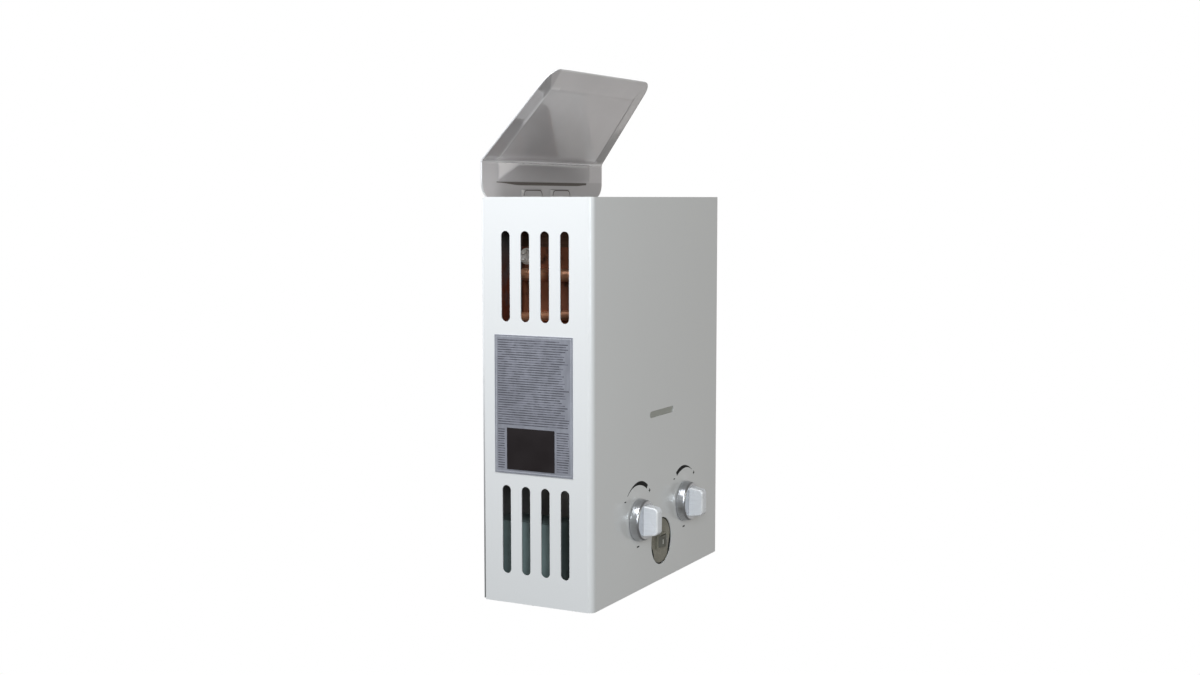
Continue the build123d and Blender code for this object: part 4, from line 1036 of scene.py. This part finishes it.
class HEATER_OT_deflector(HeaterOperator, bpy.types.Operator):
    """The pressed deflector sheet: riser with its ramp, fold, leaning plate with its pan"""

    bl_idname = "heater.deflector"
    bl_label = "Flue deflector"

    # All in millimetres: x from the sheet's middle, s along the sheet from its lower edge
    sheet = 1.0
    middle = -24.0
    foot = 29.0
    fold = 36.0
    fold_radius = 2.5
    length = 109.6
    half_foot = 123.5
    half_top = 105.5
    corner = 15.0
    ramp_start = 16.2
    ramp_end = 34.6
    ramp_reach = 11.0
    ramp_rise = 15.8
    ramp_half = 94.5
    ramp_side = 22.0
    ramp_blend = 1.0
    ramp_lip = 2.4
    pan_left = (-102.0, -90.0)
    pan_right = (96.0, 80.0)
    pan_top = 89.5
    pan_blend = 0.35
    pan_start = 9.0
    bead_height = 0.55
    bead_width = 1.5
    bead_start = 6.0
    tongue_middle = 29.3
    tongue_half = 18.0
    tongue_top = 7.6
    tongue_corner = 5.0
    # Where the painted shade round each tongue starts above the foot, and its half width
    tongue_gap_foot = 2.2
    tongue_gap_half = 0.5
    pocket_depth = 2.0
    pocket_margin = 1.5
    pocket_top = 9.2
    pocket_foot = 1.2
    pocket_blend = 1.2
    pocket_foot_blend = 0.8
    # Painted highlight along the fold and the pan's left inner line: how fast it fades from the
    # fold, its share, and the x past which the pan line has none
    highlight_fold = 1.3
    highlight_share = 0.5
    highlight_right = -76.0
    rim = 1.6
    # The painted shade along the crease: its least and added height, its drop below the
    # ramp's start, and how far it goes past the ramp's left and right sides
    crease_height = (0.8, 2.5)
    crease_drop = 0.4
    crease_past = (2.0, -7.0)
    # Shares of painted shade: in the ramp's foot, below the ramp, on the ramp, on the left border
    dirt = (0.5, 0.5, 0.2, 0.45)
    # Each a place and the length that the painted shade fades over: how far the foot's shade lies
    # below the ramp's start, how far it goes past the ramp's sides, the x where the
    # shade on the riser starts, and how far the border's shade goes past the pan's left line
    foot_drop = (1.0, 2.2)
    foot_side = (3.0, 6.0)
    riser_shade_left = (-112.0, 36.0)
    border_right = (2.0, 4.0)
    # Lengths of sheet and the number of rows in each, close where the shape turns
    row_marks = (
        (0, 3, 12), (3, 7.5, 4), (7.5, 10, 8), (10, 32, 20), (32, 40, 20), (40, 130, 64),
        (130, 144.1, 18), (144.1, 145.6, 8),
    )
    columns = 150

    def execute(self, context):
        sizes = context.scene.heater_sizes
        self.lean = sizes.lean
        self.pan_depth = sizes.pan_depth / MM
        work = bmesh.new()
        soot = work.verts.layers.float.new("soot")
        edge = work.verts.layers.float.new("edge")
        columns = spread(-1, 1, self.columns)
        rows = [0.0]
        for start, stop, steps in self.row_marks:
            rows += spread(start, stop, steps)[1:]
        place, ahead = (0.0, self.foot), 0.0
        grid = []
        for i, s in enumerate(rows):
            if i:
                step = s - rows[i - 1]
                ahead = self.angle((s + rows[i - 1]) / 2)
                place = (place[0] - step * sin(ahead), place[1] + step * cos(ahead))
            ahead = self.angle(s)
            normal = Vector((0, -cos(ahead), -sin(ahead)))
            half = self.half_width(s)
            line = []
            for t in columns:
                x = t * half
                reach = self.sheet + self.relief(x, s)
                spot = Vector((self.middle + x, place[0], place[1])) + normal * reach
                vert = work.verts.new(spot * MM)
                # Each point's share of painted shade
                vert[soot] = self.soot(x, s)
                inward = min((1 - abs(t)) * half, s, rows[-1] - s)
                worn = 1.0 - smooth_step(inward / self.rim)
                # Worn rims, and painted highlights along the fold and the pan's left inner line
                vert[edge] = max(worn, self.highlight_share * self.painted_highlight(x, s))
                line.append(vert)
            grid.append(line)
        for first, second in zip(grid, grid[1:]):
            for i in range(len(columns) - 1):
                work.faces.new((first[i], first[i + 1], second[i + 1], second[i]))
        mesh = mesh_from(work, radians(60))
        piece = add_piece("deflector_piece", mesh, "flue_deflector", None, ("flue_deflector",))
        wall = piece.modifiers.new("sheet", "SOLIDIFY")
        wall.thickness = self.sheet * MM
        wall.offset = -1.0
        self.paint_crease_shade()
        return {"FINISHED"}

    def angle(self, s):
        """The sheet's lean at a length along it."""
        return self.lean * smooth_step((s - self.fold) / (2 * self.fold_radius) + 0.5)

    def half_width(self, s):
        """Half the sheet's width, narrowing upwards, with rounded corners at both ends."""
        end = self.fold + self.length
        share = max(0.0, (s - self.fold) / self.length)
        half = self.half_foot + (self.half_top - self.half_foot) * share
        rest = self.corner - min(s, end - s)
        if rest > 0:
            half -= self.corner - sqrt(max(0.0, self.corner ** 2 - rest ** 2))
        return half

    def relief(self, x, s):
        """How far the sheet is pressed forward: the ramp on the riser, less the pan."""
        slope = self.ramp_reach / self.ramp_rise * (s - self.ramp_start)
        side = self.ramp_reach / self.ramp_side * (self.ramp_half - abs(x))
        lip = self.ramp_reach * smooth_step((self.ramp_end - s) / self.ramp_lip + 0.5)
        ramp = max(0.0, self.soft_least(self.ramp_blend, slope, side, lip))
        q = s - self.fold
        left, right = self.pan_sides(q / self.length)
        half = self.half_width(s)
        depth = self.pan_depth
        pan = self.soft_least(
            self.pan_blend, depth * (x + half) / (half + left),
            depth * (half - x) / (half - right),
            depth * (self.length - q) / (self.length - self.pan_top), depth,
        )
        pan = max(0.0, pan) * smooth_step((q + 1) / self.pan_start)
        bead = self.bead_height * self.pan_line(x, s)
        beside = self.tongue_half + self.pocket_margin - abs(abs(x) - self.tongue_middle)
        pocket = self.pocket_depth * min(
            smooth_step(beside / self.pocket_blend),
            smooth_step((self.pocket_top - s) / self.pocket_blend),
            smooth_step((s - self.pocket_foot) / self.pocket_foot_blend),
        )
        return ramp + pan + bead + pocket

    def pan_sides(self, share):
        """Where the pan's left and right inner lines lie at a share of the plate's length."""
        return tuple(a + (b - a) * share for a, b in (self.pan_left, self.pan_right))

    def pan_line(self, x, s):
        """How near a spot is to the fine bead along the pan's inner line, from 0 to 1."""
        q = s - self.fold
        left, right = self.pan_sides(q / self.length)
        inside = min(x - left, right - x, self.pan_top - q)
        return exp(-((inside / self.bead_width) ** 2)) * smooth_step(q / self.bead_start)

    def painted_highlight(self, x, s):
        """Where painted highlight lies: along the pan's left inner line and the fold."""
        fold = exp(-(((s - self.fold) / self.highlight_fold) ** 2))
        return max(fold, self.pan_line(x, s) if x < self.highlight_right else 0.0)

    def soft_least(self, blend, *values):
        """The least of some heights, rounded where they come within a blend of each other."""
        least = values[0]
        for value in values[1:]:
            near = max(0.0, blend - abs(least - value)) / blend
            least = min(least, value) - near * near * blend / 4
        return least

    def soot(self, x, s):
        """Painted shade in the ramp's foot, on the riser's right and on the plate's left border.
        """
        in_foot, below, on_ramp, border = self.dirt
        if s < self.fold:
            drop, fade = self.foot_drop
            foot = 1 - smooth_step(abs(s - self.ramp_start + drop) / fade)
            past, fade = self.foot_side
            foot *= in_foot * smooth_step((self.ramp_half + past - abs(x)) / fade)
            riser_shade = below if s < self.ramp_start else on_ramp
            start, fade = self.riser_shade_left
            return max(foot, riser_shade * smooth_step((x - start) / fade))
        left, _ = self.pan_sides((s - self.fold) / self.length)
        past, fade = self.border_right
        return border * smooth_step((left + past - x) / fade)

    def paint_crease_shade(self):
        """Painted shade: a dark strip along the crease below the ramp and dark lines round the
        two tongues.
        """
        front = PRINT / MM - self.sheet
        depth = Vector((0, -2 * PRINT, 0))
        work = bmesh.new()
        z = self.foot + self.ramp_start - self.crease_drop
        past_left, past_right = self.crease_past
        start = self.middle - self.ramp_half - past_left
        end = self.middle + self.ramp_half + past_right
        least, added = self.crease_height
        rows = []
        for x in spread(start, end, 24):
            share = (x - start) / (end - start)
            # It opens over its first quarter and narrows a little over its last eighth
            full = smooth_step(share * 4) * (1 - 0.4 * smooth_step(share * 8 - 7))
            height = least + added * full
            rows.append((Vector((x, front, z - height)) * MM, Vector((x, front, z)) * MM))
        ribbon(work, rows, depth)
        for side in (-1, 1):
            centre = self.middle + side * self.tongue_middle
            self.tongue_gap_shade(work, centre, front - self.pocket_depth, depth)
        add_piece("deflector_dirt", mesh_from(work), "flue_deflector", "fold_dirt")

    def tongue_gap_shade(self, work, centre, front, depth):
        """A dark line of painted shade round the sides and arched top of a pocket pressed over a
        tongue.
        """
        radius, foot = self.tongue_corner, self.foot + self.tongue_gap_foot
        half, top = self.tongue_half - radius, self.foot + self.tongue_top - radius
        outline = [(centre - self.tongue_half, foot, -1.0, 0.0)]
        for middle, start in ((centre - half, -pi / 2), (centre + half, 0.0)):
            for angle in spread(start, start + pi / 2, 8):
                out_x, out_z = sin(angle), cos(angle)
                outline.append((middle + radius * out_x, top + radius * out_z, out_x, out_z))
        outline.append((centre + self.tongue_half, foot, 1.0, 0.0))
        rows = []
        for x, z, out_x, out_z in outline:
            spot = Vector((x, front, z))
            half_gap = Vector((out_x, 0, out_z)) * self.tongue_gap_half
            rows.append(((spot - half_gap) * MM, (spot + half_gap) * MM))
        ribbon(work, rows, depth)


# Controls

class HEATER_OT_knobs(HeaterOperator, bpy.types.Operator):
    """The two knobs: a turned skirt and a rounded upright grip"""

    bl_idname = "heater.knobs"
    bl_label = "Knobs"

    # In millimetres, apart from the taper, which is a share
    clearance = 0.02
    skirt_depth = 9.0
    bore = (4.2, 3.0)
    grip_half = (6.6, 15.5)
    grip_taper = (0.82, 0.86)
    grip_sink = 1.5
    grip_edge = 1.7
    # The skirt's outline from its seat: how far in from the rim, and how far forward
    rim_back = ((0.6, 0.0), (0.1, 0.3), (0.0, 0.9), (0.25, 2.2))
    # The same for its front, measured back from its depth
    rim_front = ((0.9, 2.0), (1.4, 0.9), (2.2, 0.2), (3.2, 0.0), (4.4, 0.25), (8.0, 0.7))

    def execute(self, context):
        corner = context.scene.heater_sizes.grip_corner
        for node in ("gas_knob", "water_knob"):
            low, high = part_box(node)
            seat = Matrix.Translation((box_middle(node).x, high.y, box_middle(node).z)) @ FORWARD
            radius = (high.x - low.x) / 2 / MM
            reach = (high.y - low.y) / MM - self.clearance
            self.make_skirt(node, radius, seat)
            self.make_grip(node, reach, corner / MM, seat)
        return {"FINISHED"}

    def make_skirt(self, node, radius, seat):
        """The round skirt, slightly conical, with a dished front."""
        bore, depth = self.bore
        front = [(radius - inset, self.skirt_depth - back) for inset, back in self.rim_front]
        profile = [
            (0, depth), (bore, depth), (bore, 0.0),
            *((radius - inset, height) for inset, height in self.rim_back),
            *front, (0, front[-1][1]),
        ]
        work = turned([(r * MM, h * MM) for r, h in profile], 128)
        bmesh.ops.transform(work, matrix=seat, verts=work.verts)
        piece = add_piece(f"{node}_skirt", mesh_from(work), node)
        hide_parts(node)
        keep_flats(piece)

    def make_grip(self, node, reach, corner, seat):
        """The upright grip, narrower and shorter in front, with round front ends."""
        foot = self.skirt_depth - self.grip_sink
        half_x, half_y = self.grip_half
        work = bmesh.new()
        bmesh.ops.create_cube(work, size=2.0)
        for vert in work.verts:
            across, along = self.grip_taper if vert.co.z > 0 else (1.0, 1.0)
            height = reach if vert.co.z > 0 else foot
            vert.co.x *= half_x * across * MM
            vert.co.y *= half_y * along * MM
            vert.co.z = height * MM
        ends = []
        for edge in work.edges:
            near, far = (vert.co for vert in edge.verts)
            if min(near.z, far.z) > foot * MM and abs(near.y - far.y) < WELD:
                ends.append(edge)
        bmesh.ops.bevel(
            work, geom=ends, offset=corner * MM, offset_type="OFFSET", segments=8,
            profile=0.5, affect="EDGES", clamp_overlap=True,
        )
        soften(work, self.grip_edge * MM, 5)
        bmesh.ops.transform(work, matrix=seat, verts=work.verts)
        # The grip's finish is a paler copy of the knob plating: painted light
        keep_flats(add_piece(f"{node}_grip", mesh_from(work), node, "grip_silver"))


class HEATER_OT_dials(HeaterOperator, bpy.types.Operator):
    """The printed dial arc over each knob, with a minus and a plus at its ends"""

    bl_idname = "heater.dials"
    bl_label = "Dial print"

    # Start and end of each arc in degrees, and whether it thickens towards its end
    arcs = {"gas_knob": (-41, 35, True), "water_knob": (-31, 33, False)}
    sign_gap = 11
    # An arc's thin end as a share of its full width, and how early it reaches that width
    thin_end = 0.13
    swell = 1.25
    depth = Vector((0, -2 * PRINT, 0))
    # In millimetres: length and thickness of the signs' strokes, and of the bar below
    sign = (3.8, 1.1)
    bar = (5.2, 1.4)
    bar_drop = 27.5

    def execute(self, context):
        sizes = context.scene.heater_sizes
        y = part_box("front_cover")[0].y + PRINT
        work = bmesh.new()
        for node, (start, end, swells) in self.arcs.items():
            centre = Vector((box_middle(node).x, y, box_middle(node).z))
            angles = spread(radians(start), radians(end), 40)

            def width(share):
                full = smooth_step((share if swells else 1 - share) * self.swell)
                return sizes.dial_width * (self.thin_end + (1 - self.thin_end) * full)

            ribbon(work, arc_rows(centre, sizes.dial_radius, angles, width), self.depth)
            for angle, plus in ((start - self.sign_gap, False), (end + self.sign_gap, True)):
                out = Vector((sin(radians(angle)), 0, cos(radians(angle))))
                spot = centre + out * sizes.dial_radius
                self.stroke(work, spot, *self.sign)
                if plus:
                    self.stroke(work, spot, *reversed(self.sign))
            self.stroke(work, centre - Vector((0, 0, self.bar_drop * MM)), *self.bar)
        add_piece("dial_print", mesh_from(work), "data_plate_field", "dial_ink")
        return {"FINISHED"}

    def stroke(self, work, middle, width, height):
        """A small bar on the cover's face, sized in millimetres."""
        corners = [middle + Vector((i * width, 0, j * height)) * (MM / 2) for i, j in SQUARE]
        slab(work, corners, self.depth)


class HEATER_OT_switch(HeaterOperator, bpy.types.Operator):
    """The recessed switch plate with painted shade in its gap, the housing, the rocker and its
    marks
    """

    bl_idname = "heater.switch"
    bl_label = "Rocker switch"

    gap_radius = 23.35 * MM
    gap_width = 1.248 * MM
    bridge_half = 3.5 * MM
    groove_floor = 0.6 * MM
    groove_fill = 0.4 * MM
    # Start and end in degrees of the wider dark parts of painted shadow, and their least and
    # added width
    crescents = ((76, 142), (220, 270))
    crescent_width = (0.8 * MM, 3.4 * MM)
    crescent_reach = 0.5 * MM
    # In millimetres: each mark's place from the rocker's middle, its height and its sinking
    mark_offset = 4.4
    mark_lift = 0.22
    mark_sink = 0.1
    stroke_half = (0.45, 2.3)
    ring = (1.75, 0.8)
    # The angle by which the O stays open, too small to be seen
    ring_gap = 0.02

    def execute(self, context):
        for node in (
            "switch_plate", "switch_housing", "switch_rocker", "view_window", "window_clip"
        ):
            softened_node(node, EDGES[node], 3)
        plate_low, plate_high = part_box("switch_plate")
        centre = (plate_low + plate_high) / 2
        centre.y = plate_low.y + self.groove_floor + PRINT
        lean = asin(self.bridge_half / self.gap_radius)
        work = bmesh.new()
        # Painted shade: a dark fill in the groove between its three bridges
        for start in (0, 120, 240):
            angles = spread(radians(start) + lean, radians(start + 120) - lean, 36)
            rows = arc_rows(centre, self.gap_radius, angles, lambda share: self.gap_width)
            ribbon(work, rows, Vector((0, -self.groove_fill, 0)))
        # Painted shadow: dark crescents on the plate's face where the gap would show wider
        centre.y = plate_low.y + PRINT
        least, added = self.crescent_width
        outer = self.gap_radius + self.crescent_reach
        for start, end in self.crescents:
            rows = []
            for angle in spread(radians(start), radians(end), 24):
                share = (angle - radians(start)) / radians(end - start)
                out = Vector((sin(angle), 0, cos(angle)))
                inner = outer - least - added * sin(pi * share)
                rows.append((centre + out * inner, centre + out * outer))
            ribbon(work, rows, Vector((0, -2 * PRINT, 0)))
        add_piece("switch_gap", mesh_from(work), "data_plate_field", "port_soot")
        self.mark_rocker()
        return {"FINISHED"}

    def mark_rocker(self):
        """A raised I and O on the rocker's two faces."""
        work = node_copy("switch_rocker")
        surface = BVHTree.FromBMesh(work)
        work.free()
        centre = box_middle("switch_rocker")
        marks = bmesh.new()
        for offset in (-self.mark_offset, self.mark_offset):
            start = Vector((centre.x + offset * MM, 2 * centre.y, centre.z))
            spot, normal, _, _ = surface.ray_cast(start, Vector((0, 1, 0)))
            across = Vector((0, 0, 1)).cross(normal).normalized()
            depth = normal * (self.mark_lift * MM)
            base = spot - normal * (self.mark_sink * MM)
            if offset < 0:
                half_x, half_z = self.stroke_half
                corners = [
                    base + (across * (i * half_x) + Vector((0, 0, j * half_z))) * MM
                    for i, j in SQUARE
                ]
                slab(marks, corners, depth)
            else:
                radius, width = self.ring
                angles = spread(0, 2 * pi - self.ring_gap, 32)
                rows = arc_rows(base, radius * MM, angles, lambda share: width * MM, across)
                ribbon(marks, rows, depth)
        add_piece("rocker_marks", mesh_from(marks), "switch_rocker", "mark_paint")


# Screws, threads and spring

def screw_template(radius, height, shank, length):
    """A cross-recess screw from its head's underside at the origin, head up, in metres."""
    # The rings and the recess are shares of the head's and the shank's sizes
    count = 24
    angles = [2 * pi * i / count for i in range(count)]
    work = bmesh.new()

    def ring(r, z):
        return [work.verts.new((r * cos(a), r * sin(a), z)) for a in angles]

    rings = [
        ring(shank * 0.55, -length), ring(shank, -length + shank * 0.6), ring(shank, 0),
        ring(radius * 0.96, 0), ring(radius, height * 0.15), ring(radius * 0.96, height * 0.5),
        ring(radius * 0.82, height * 0.82), ring(radius * 0.62, height),
    ]
    work.faces.new(rings[0])
    bridge(work, rings)
    arm, half = radius * 0.5, radius * 0.13
    outline = [
        (arm, -half), (arm, half), (half, half), (half, arm), (-half, arm), (-half, half),
        (-arm, half), (-arm, -half), (-half, -half), (-half, -arm), (half, -arm), (half, -half),
    ]
    cross = [work.verts.new((x, y, height)) for x, y in outline]
    floor = [work.verts.new((x * 0.6, y * 0.6, height * 0.35)) for x, y in outline]
    edges = [work.edges.new((cross[i - 1], cross[i])) for i in range(len(cross))]
    rim = rings[-1]
    edges += [work.edges.get((rim[i - 1], rim[i])) for i in range(count)]
    bmesh.ops.triangle_fill(work, use_beauty=True, edges=edges)
    bridge(work, [cross, floor])
    work.faces.new(floor)
    bmesh.ops.recalc_face_normals(work, faces=work.faces)
    mesh = bpy.data.meshes.new("screw")
    work.to_mesh(mesh)
    work.free()
    return bpy.data.objects.new("screw_template", mesh)


class HEATER_OT_screws(HeaterOperator, bpy.types.Operator):
    """Cross-recess screws in the case's floor and round the water valve"""

    bl_idname = "heater.screws"
    bl_label = "Screws"

    valve_screw_circle = 28.5 * MM
    valve_screws = 6
    # Radius and height of each kind's head, and radius of its shank
    cover_head = (4 * MM, 2 * MM, 2 * MM)
    valve_head = (3.5 * MM, 3 * MM, 2 * MM)
    # Seeds of the random turns
    cover_seed = 5
    valve_seed = 11

    def execute(self, context):
        tree = scatter_tree()
        low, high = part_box("cover_screws")
        radius, height, _ = self.cover_head
        places = [(low.x + radius, 0, 0), (high.x - radius, 0, 0)]
        seat = Matrix.Translation((0, (low.y + high.y) / 2, low.z + height))
        down = Matrix.Diagonal((1, -1, -1, 1))
        sizes = (*self.cover_head, high.z - low.z - height)
        self.drive(tree, "cover_screws", places, seat @ down, sizes, self.cover_seed)
        low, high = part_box("valve_screws")
        centre = box_middle("water_valve_cover")
        places = []
        for i in range(self.valve_screws):
            angle = pi / 6 + 2 * pi * i / self.valve_screws
            places.append(Vector((cos(angle), sin(angle), 0)) * self.valve_screw_circle)
        back = Matrix(((0, 0, -1, 0), (0, 1, 0, 0), (1, 0, 0, 0), (0, 0, 0, 1)))
        height = self.valve_head[1]
        seat = Matrix.Translation((low.x + height, centre.y, centre.z))
        sizes = (*self.valve_head, high.x - low.x - height)
        self.drive(tree, "valve_screws", places, seat @ back, sizes, self.valve_seed)
        return {"FINISHED"}

    def drive(self, tree, node, places, matrix, sizes, seed):
        """Copies of one screw on its places, each turned as it happened to stop."""
        template = screw_template(*sizes)
        mesh = grow(tree, {
            "Template": template, "Seed": seed, "Paint": finish_of(slots[node]),
        }, places)
        bpy.data.objects.remove(template)
        piece = add_piece(f"{node}_piece", mesh_from(placed(mesh, matrix)), node, None, (node,))
        keep_flats(piece)


class HEATER_OT_fittings(HeaterOperator, bpy.types.Operator):
    """The three pipe fittings with cut threads"""

    bl_idname = "heater.fittings"
    bl_label = "Pipe fittings"

    fittings = ("gas_inlet_fitting", "cold_inlet_fitting", "hot_outlet_fitting")
    edge = 0.35
    crest = 10.48 * MM
    # Points farther out than this share of the crest lie on the thread
    crest_share = 0.97
    root = 9.32 * MM
    ridge = 0.9 * MM
    thread = 18 * MM

    def execute(self, context):
        pitch = context.scene.heater_sizes.thread_pitch
        tree = helix_tree()
        height = self.thread - 2 * self.ridge
        works = []
        for node in self.fittings:
            low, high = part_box(node)
            axis = Vector(((low.x + high.x) / 2, (low.y + high.y) / 2, low.z))

            def cut_root(work):
                for vert in work.verts:
                    out = Vector((vert.co.x - axis.x, vert.co.y - axis.y, 0))
                    outer = out.length > self.crest_share * self.crest
                    if outer and vert.co.z < axis.z + self.thread + WELD:
                        spot = axis + out.normalized() * self.root
                        vert.co = (spot.x, spot.y, vert.co.z)

            softened_node(node, self.edge, 2, cut_root)
            mesh = grow(tree, {
                "Turns": height / pitch, "Radius": self.crest - self.ridge, "Height": height,
                "Wire": self.ridge, "Sides": 3, "Paint": finish_of("brass"),
            })
            lift = Vector((0, 0, self.ridge))
            works.append(placed(mesh, Matrix.Translation(axis + lift)))
        add_piece("pipe_threads", mesh_from(joined(works), radians(25)), self.fittings[0])
        return {"FINISHED"}


class HEATER_OT_spring(HeaterOperator, bpy.types.Operator):
    """The gas valve's wound return spring"""

    bl_idname = "heater.spring"
    bl_label = "Return spring"

    wire = 0.5 * MM

    def execute(self, context):
        node = "return_spring"
        low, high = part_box(node)
        radius = (high.z - low.z) / 2 - self.wire
        mesh = grow(helix_tree(), {
            "Turns": float(context.scene.heater_sizes.spring_turns), "Radius": radius,
            "Height": high.x - low.x - 2 * self.wire, "Wire": self.wire, "Sides": 10,
            "Paint": finish_of("spring_steel"),
        })
        across = Matrix.Rotation(pi / 2, 4, "Y")
        seat = Vector((low.x + self.wire, (low.y + high.y) / 2, (low.z + high.z) / 2))
        work = placed(mesh, Matrix.Translation(seat) @ across)
        add_piece(f"{node}_piece", mesh_from(work), node, None, (node,))
        return {"FINISHED"}


# Inside

class HEATER_OT_burner(HeaterOperator, bpy.types.Operator):
    """The six burner bars with their rows of flame ports painted as dark bars of shade, and the
    burner frame
    """

    bl_idname = "heater.burner"
    bl_label = "Burner"

    bar_edge = 0.6
    port = Vector((10, 1.3, 0.2)) * MM
    port_sink = 0.05 * MM
    pitch = 3.6 * MM

    def execute(self, context):
        tree = rows_tree()
        works = []
        for node in (n for n in nodes if n.startswith("burner_bar_")):
            softened_node(node, self.bar_edge, 3)
            low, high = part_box(node)
            count = int((high.y - low.y) / self.pitch) - 1
            # Each flame port is a dark bar on the bar's top: painted shade in place of a hole
            rows = grow(tree, {
                "Count": count, "Step": (0, self.pitch, 0), "Bar": self.port,
                "Shorten": 0.0, "Seed": 0, "Paint": finish_of("port_soot"),
            })
            start = (low.y + high.y - (count - 1) * self.pitch) / 2
            place = ((low.x + high.x - self.port.x) / 2, start, high.z - self.port_sink)
            works.append(placed(rows, Matrix.Translation(place)))
        add_piece("burner_ports", mesh_from(joined(works)), "burner_bar_1", "port_soot")
        for node in ("burner_frame", "gas_manifold"):
            softened_node(node, EDGES[node])
        return {"FINISHED"}


class HEATER_OT_inside(HeaterOperator, bpy.types.Operator):
    """Every other piece with softened edges, and the finishes of what stays from the frame"""

    bl_idname = "heater.inside"
    bl_label = "Inner pieces"

    def execute(self, context):
        for node, width in EDGES.items():
            if not nodes[node].hide_render:
                softened_node(node, width)
        for name, node in nodes.items():
            if not node.hide_render:
                node.data.materials.clear()
                node.data.materials.append(node_finish(name))
        return {"FINISHED"}


class HEATER_PT_panel(bpy.types.Panel):
    """The heater's operators and settings in the sidebar."""

    bl_label = "Heater"
    bl_idname = "HEATER_PT_panel"
    bl_space_type = "VIEW_3D"
    bl_region_type = "UI"
    bl_category = "Heater"

    def draw(self, context):
        for group in GROUPS:
            settings = getattr(context.scene, group)
            for name in settings.__annotations__:
                self.layout.prop(settings, name)
        for operator in OPERATORS:
            self.layout.operator(operator.bl_idname)


GROUPS = {
    "heater_colours": HeaterColours,
    "heater_sizes": HeaterSizes,
    "heater_studio": HeaterStudio,
}
OPERATORS = (
    HEATER_OT_studio,
    HEATER_OT_leads,
    HEATER_OT_case,
    HEATER_OT_side_print,
    HEATER_OT_deflector,
    HEATER_OT_knobs,
    HEATER_OT_dials,
    HEATER_OT_switch,
    HEATER_OT_screws,
    HEATER_OT_fittings,
    HEATER_OT_spring,
    HEATER_OT_burner,
    HEATER_OT_inside,
)


def register():
    """Registers the settings, the operators and the panel."""
    for name, group in GROUPS.items():
        bpy.utils.register_class(group)
        setattr(bpy.types.Scene, name, PointerProperty(type=group))
    for operator in (*OPERATORS, HEATER_PT_panel):
        bpy.utils.register_class(operator)


def unregister():
    """Takes the panel, the operators and the settings away again."""
    for operator in (HEATER_PT_panel, *reversed(OPERATORS)):
        bpy.utils.unregister_class(operator)
    for name, group in reversed(GROUPS.items()):
        delattr(bpy.types.Scene, name)
        bpy.utils.unregister_class(group)


def main():
    """Builds the whole scene."""
    register()
    for operator in OPERATORS:
        area, name = operator.bl_idname.split(".")
        getattr(getattr(bpy.ops, area), name)()


if __name__ == "__main__":
    main()
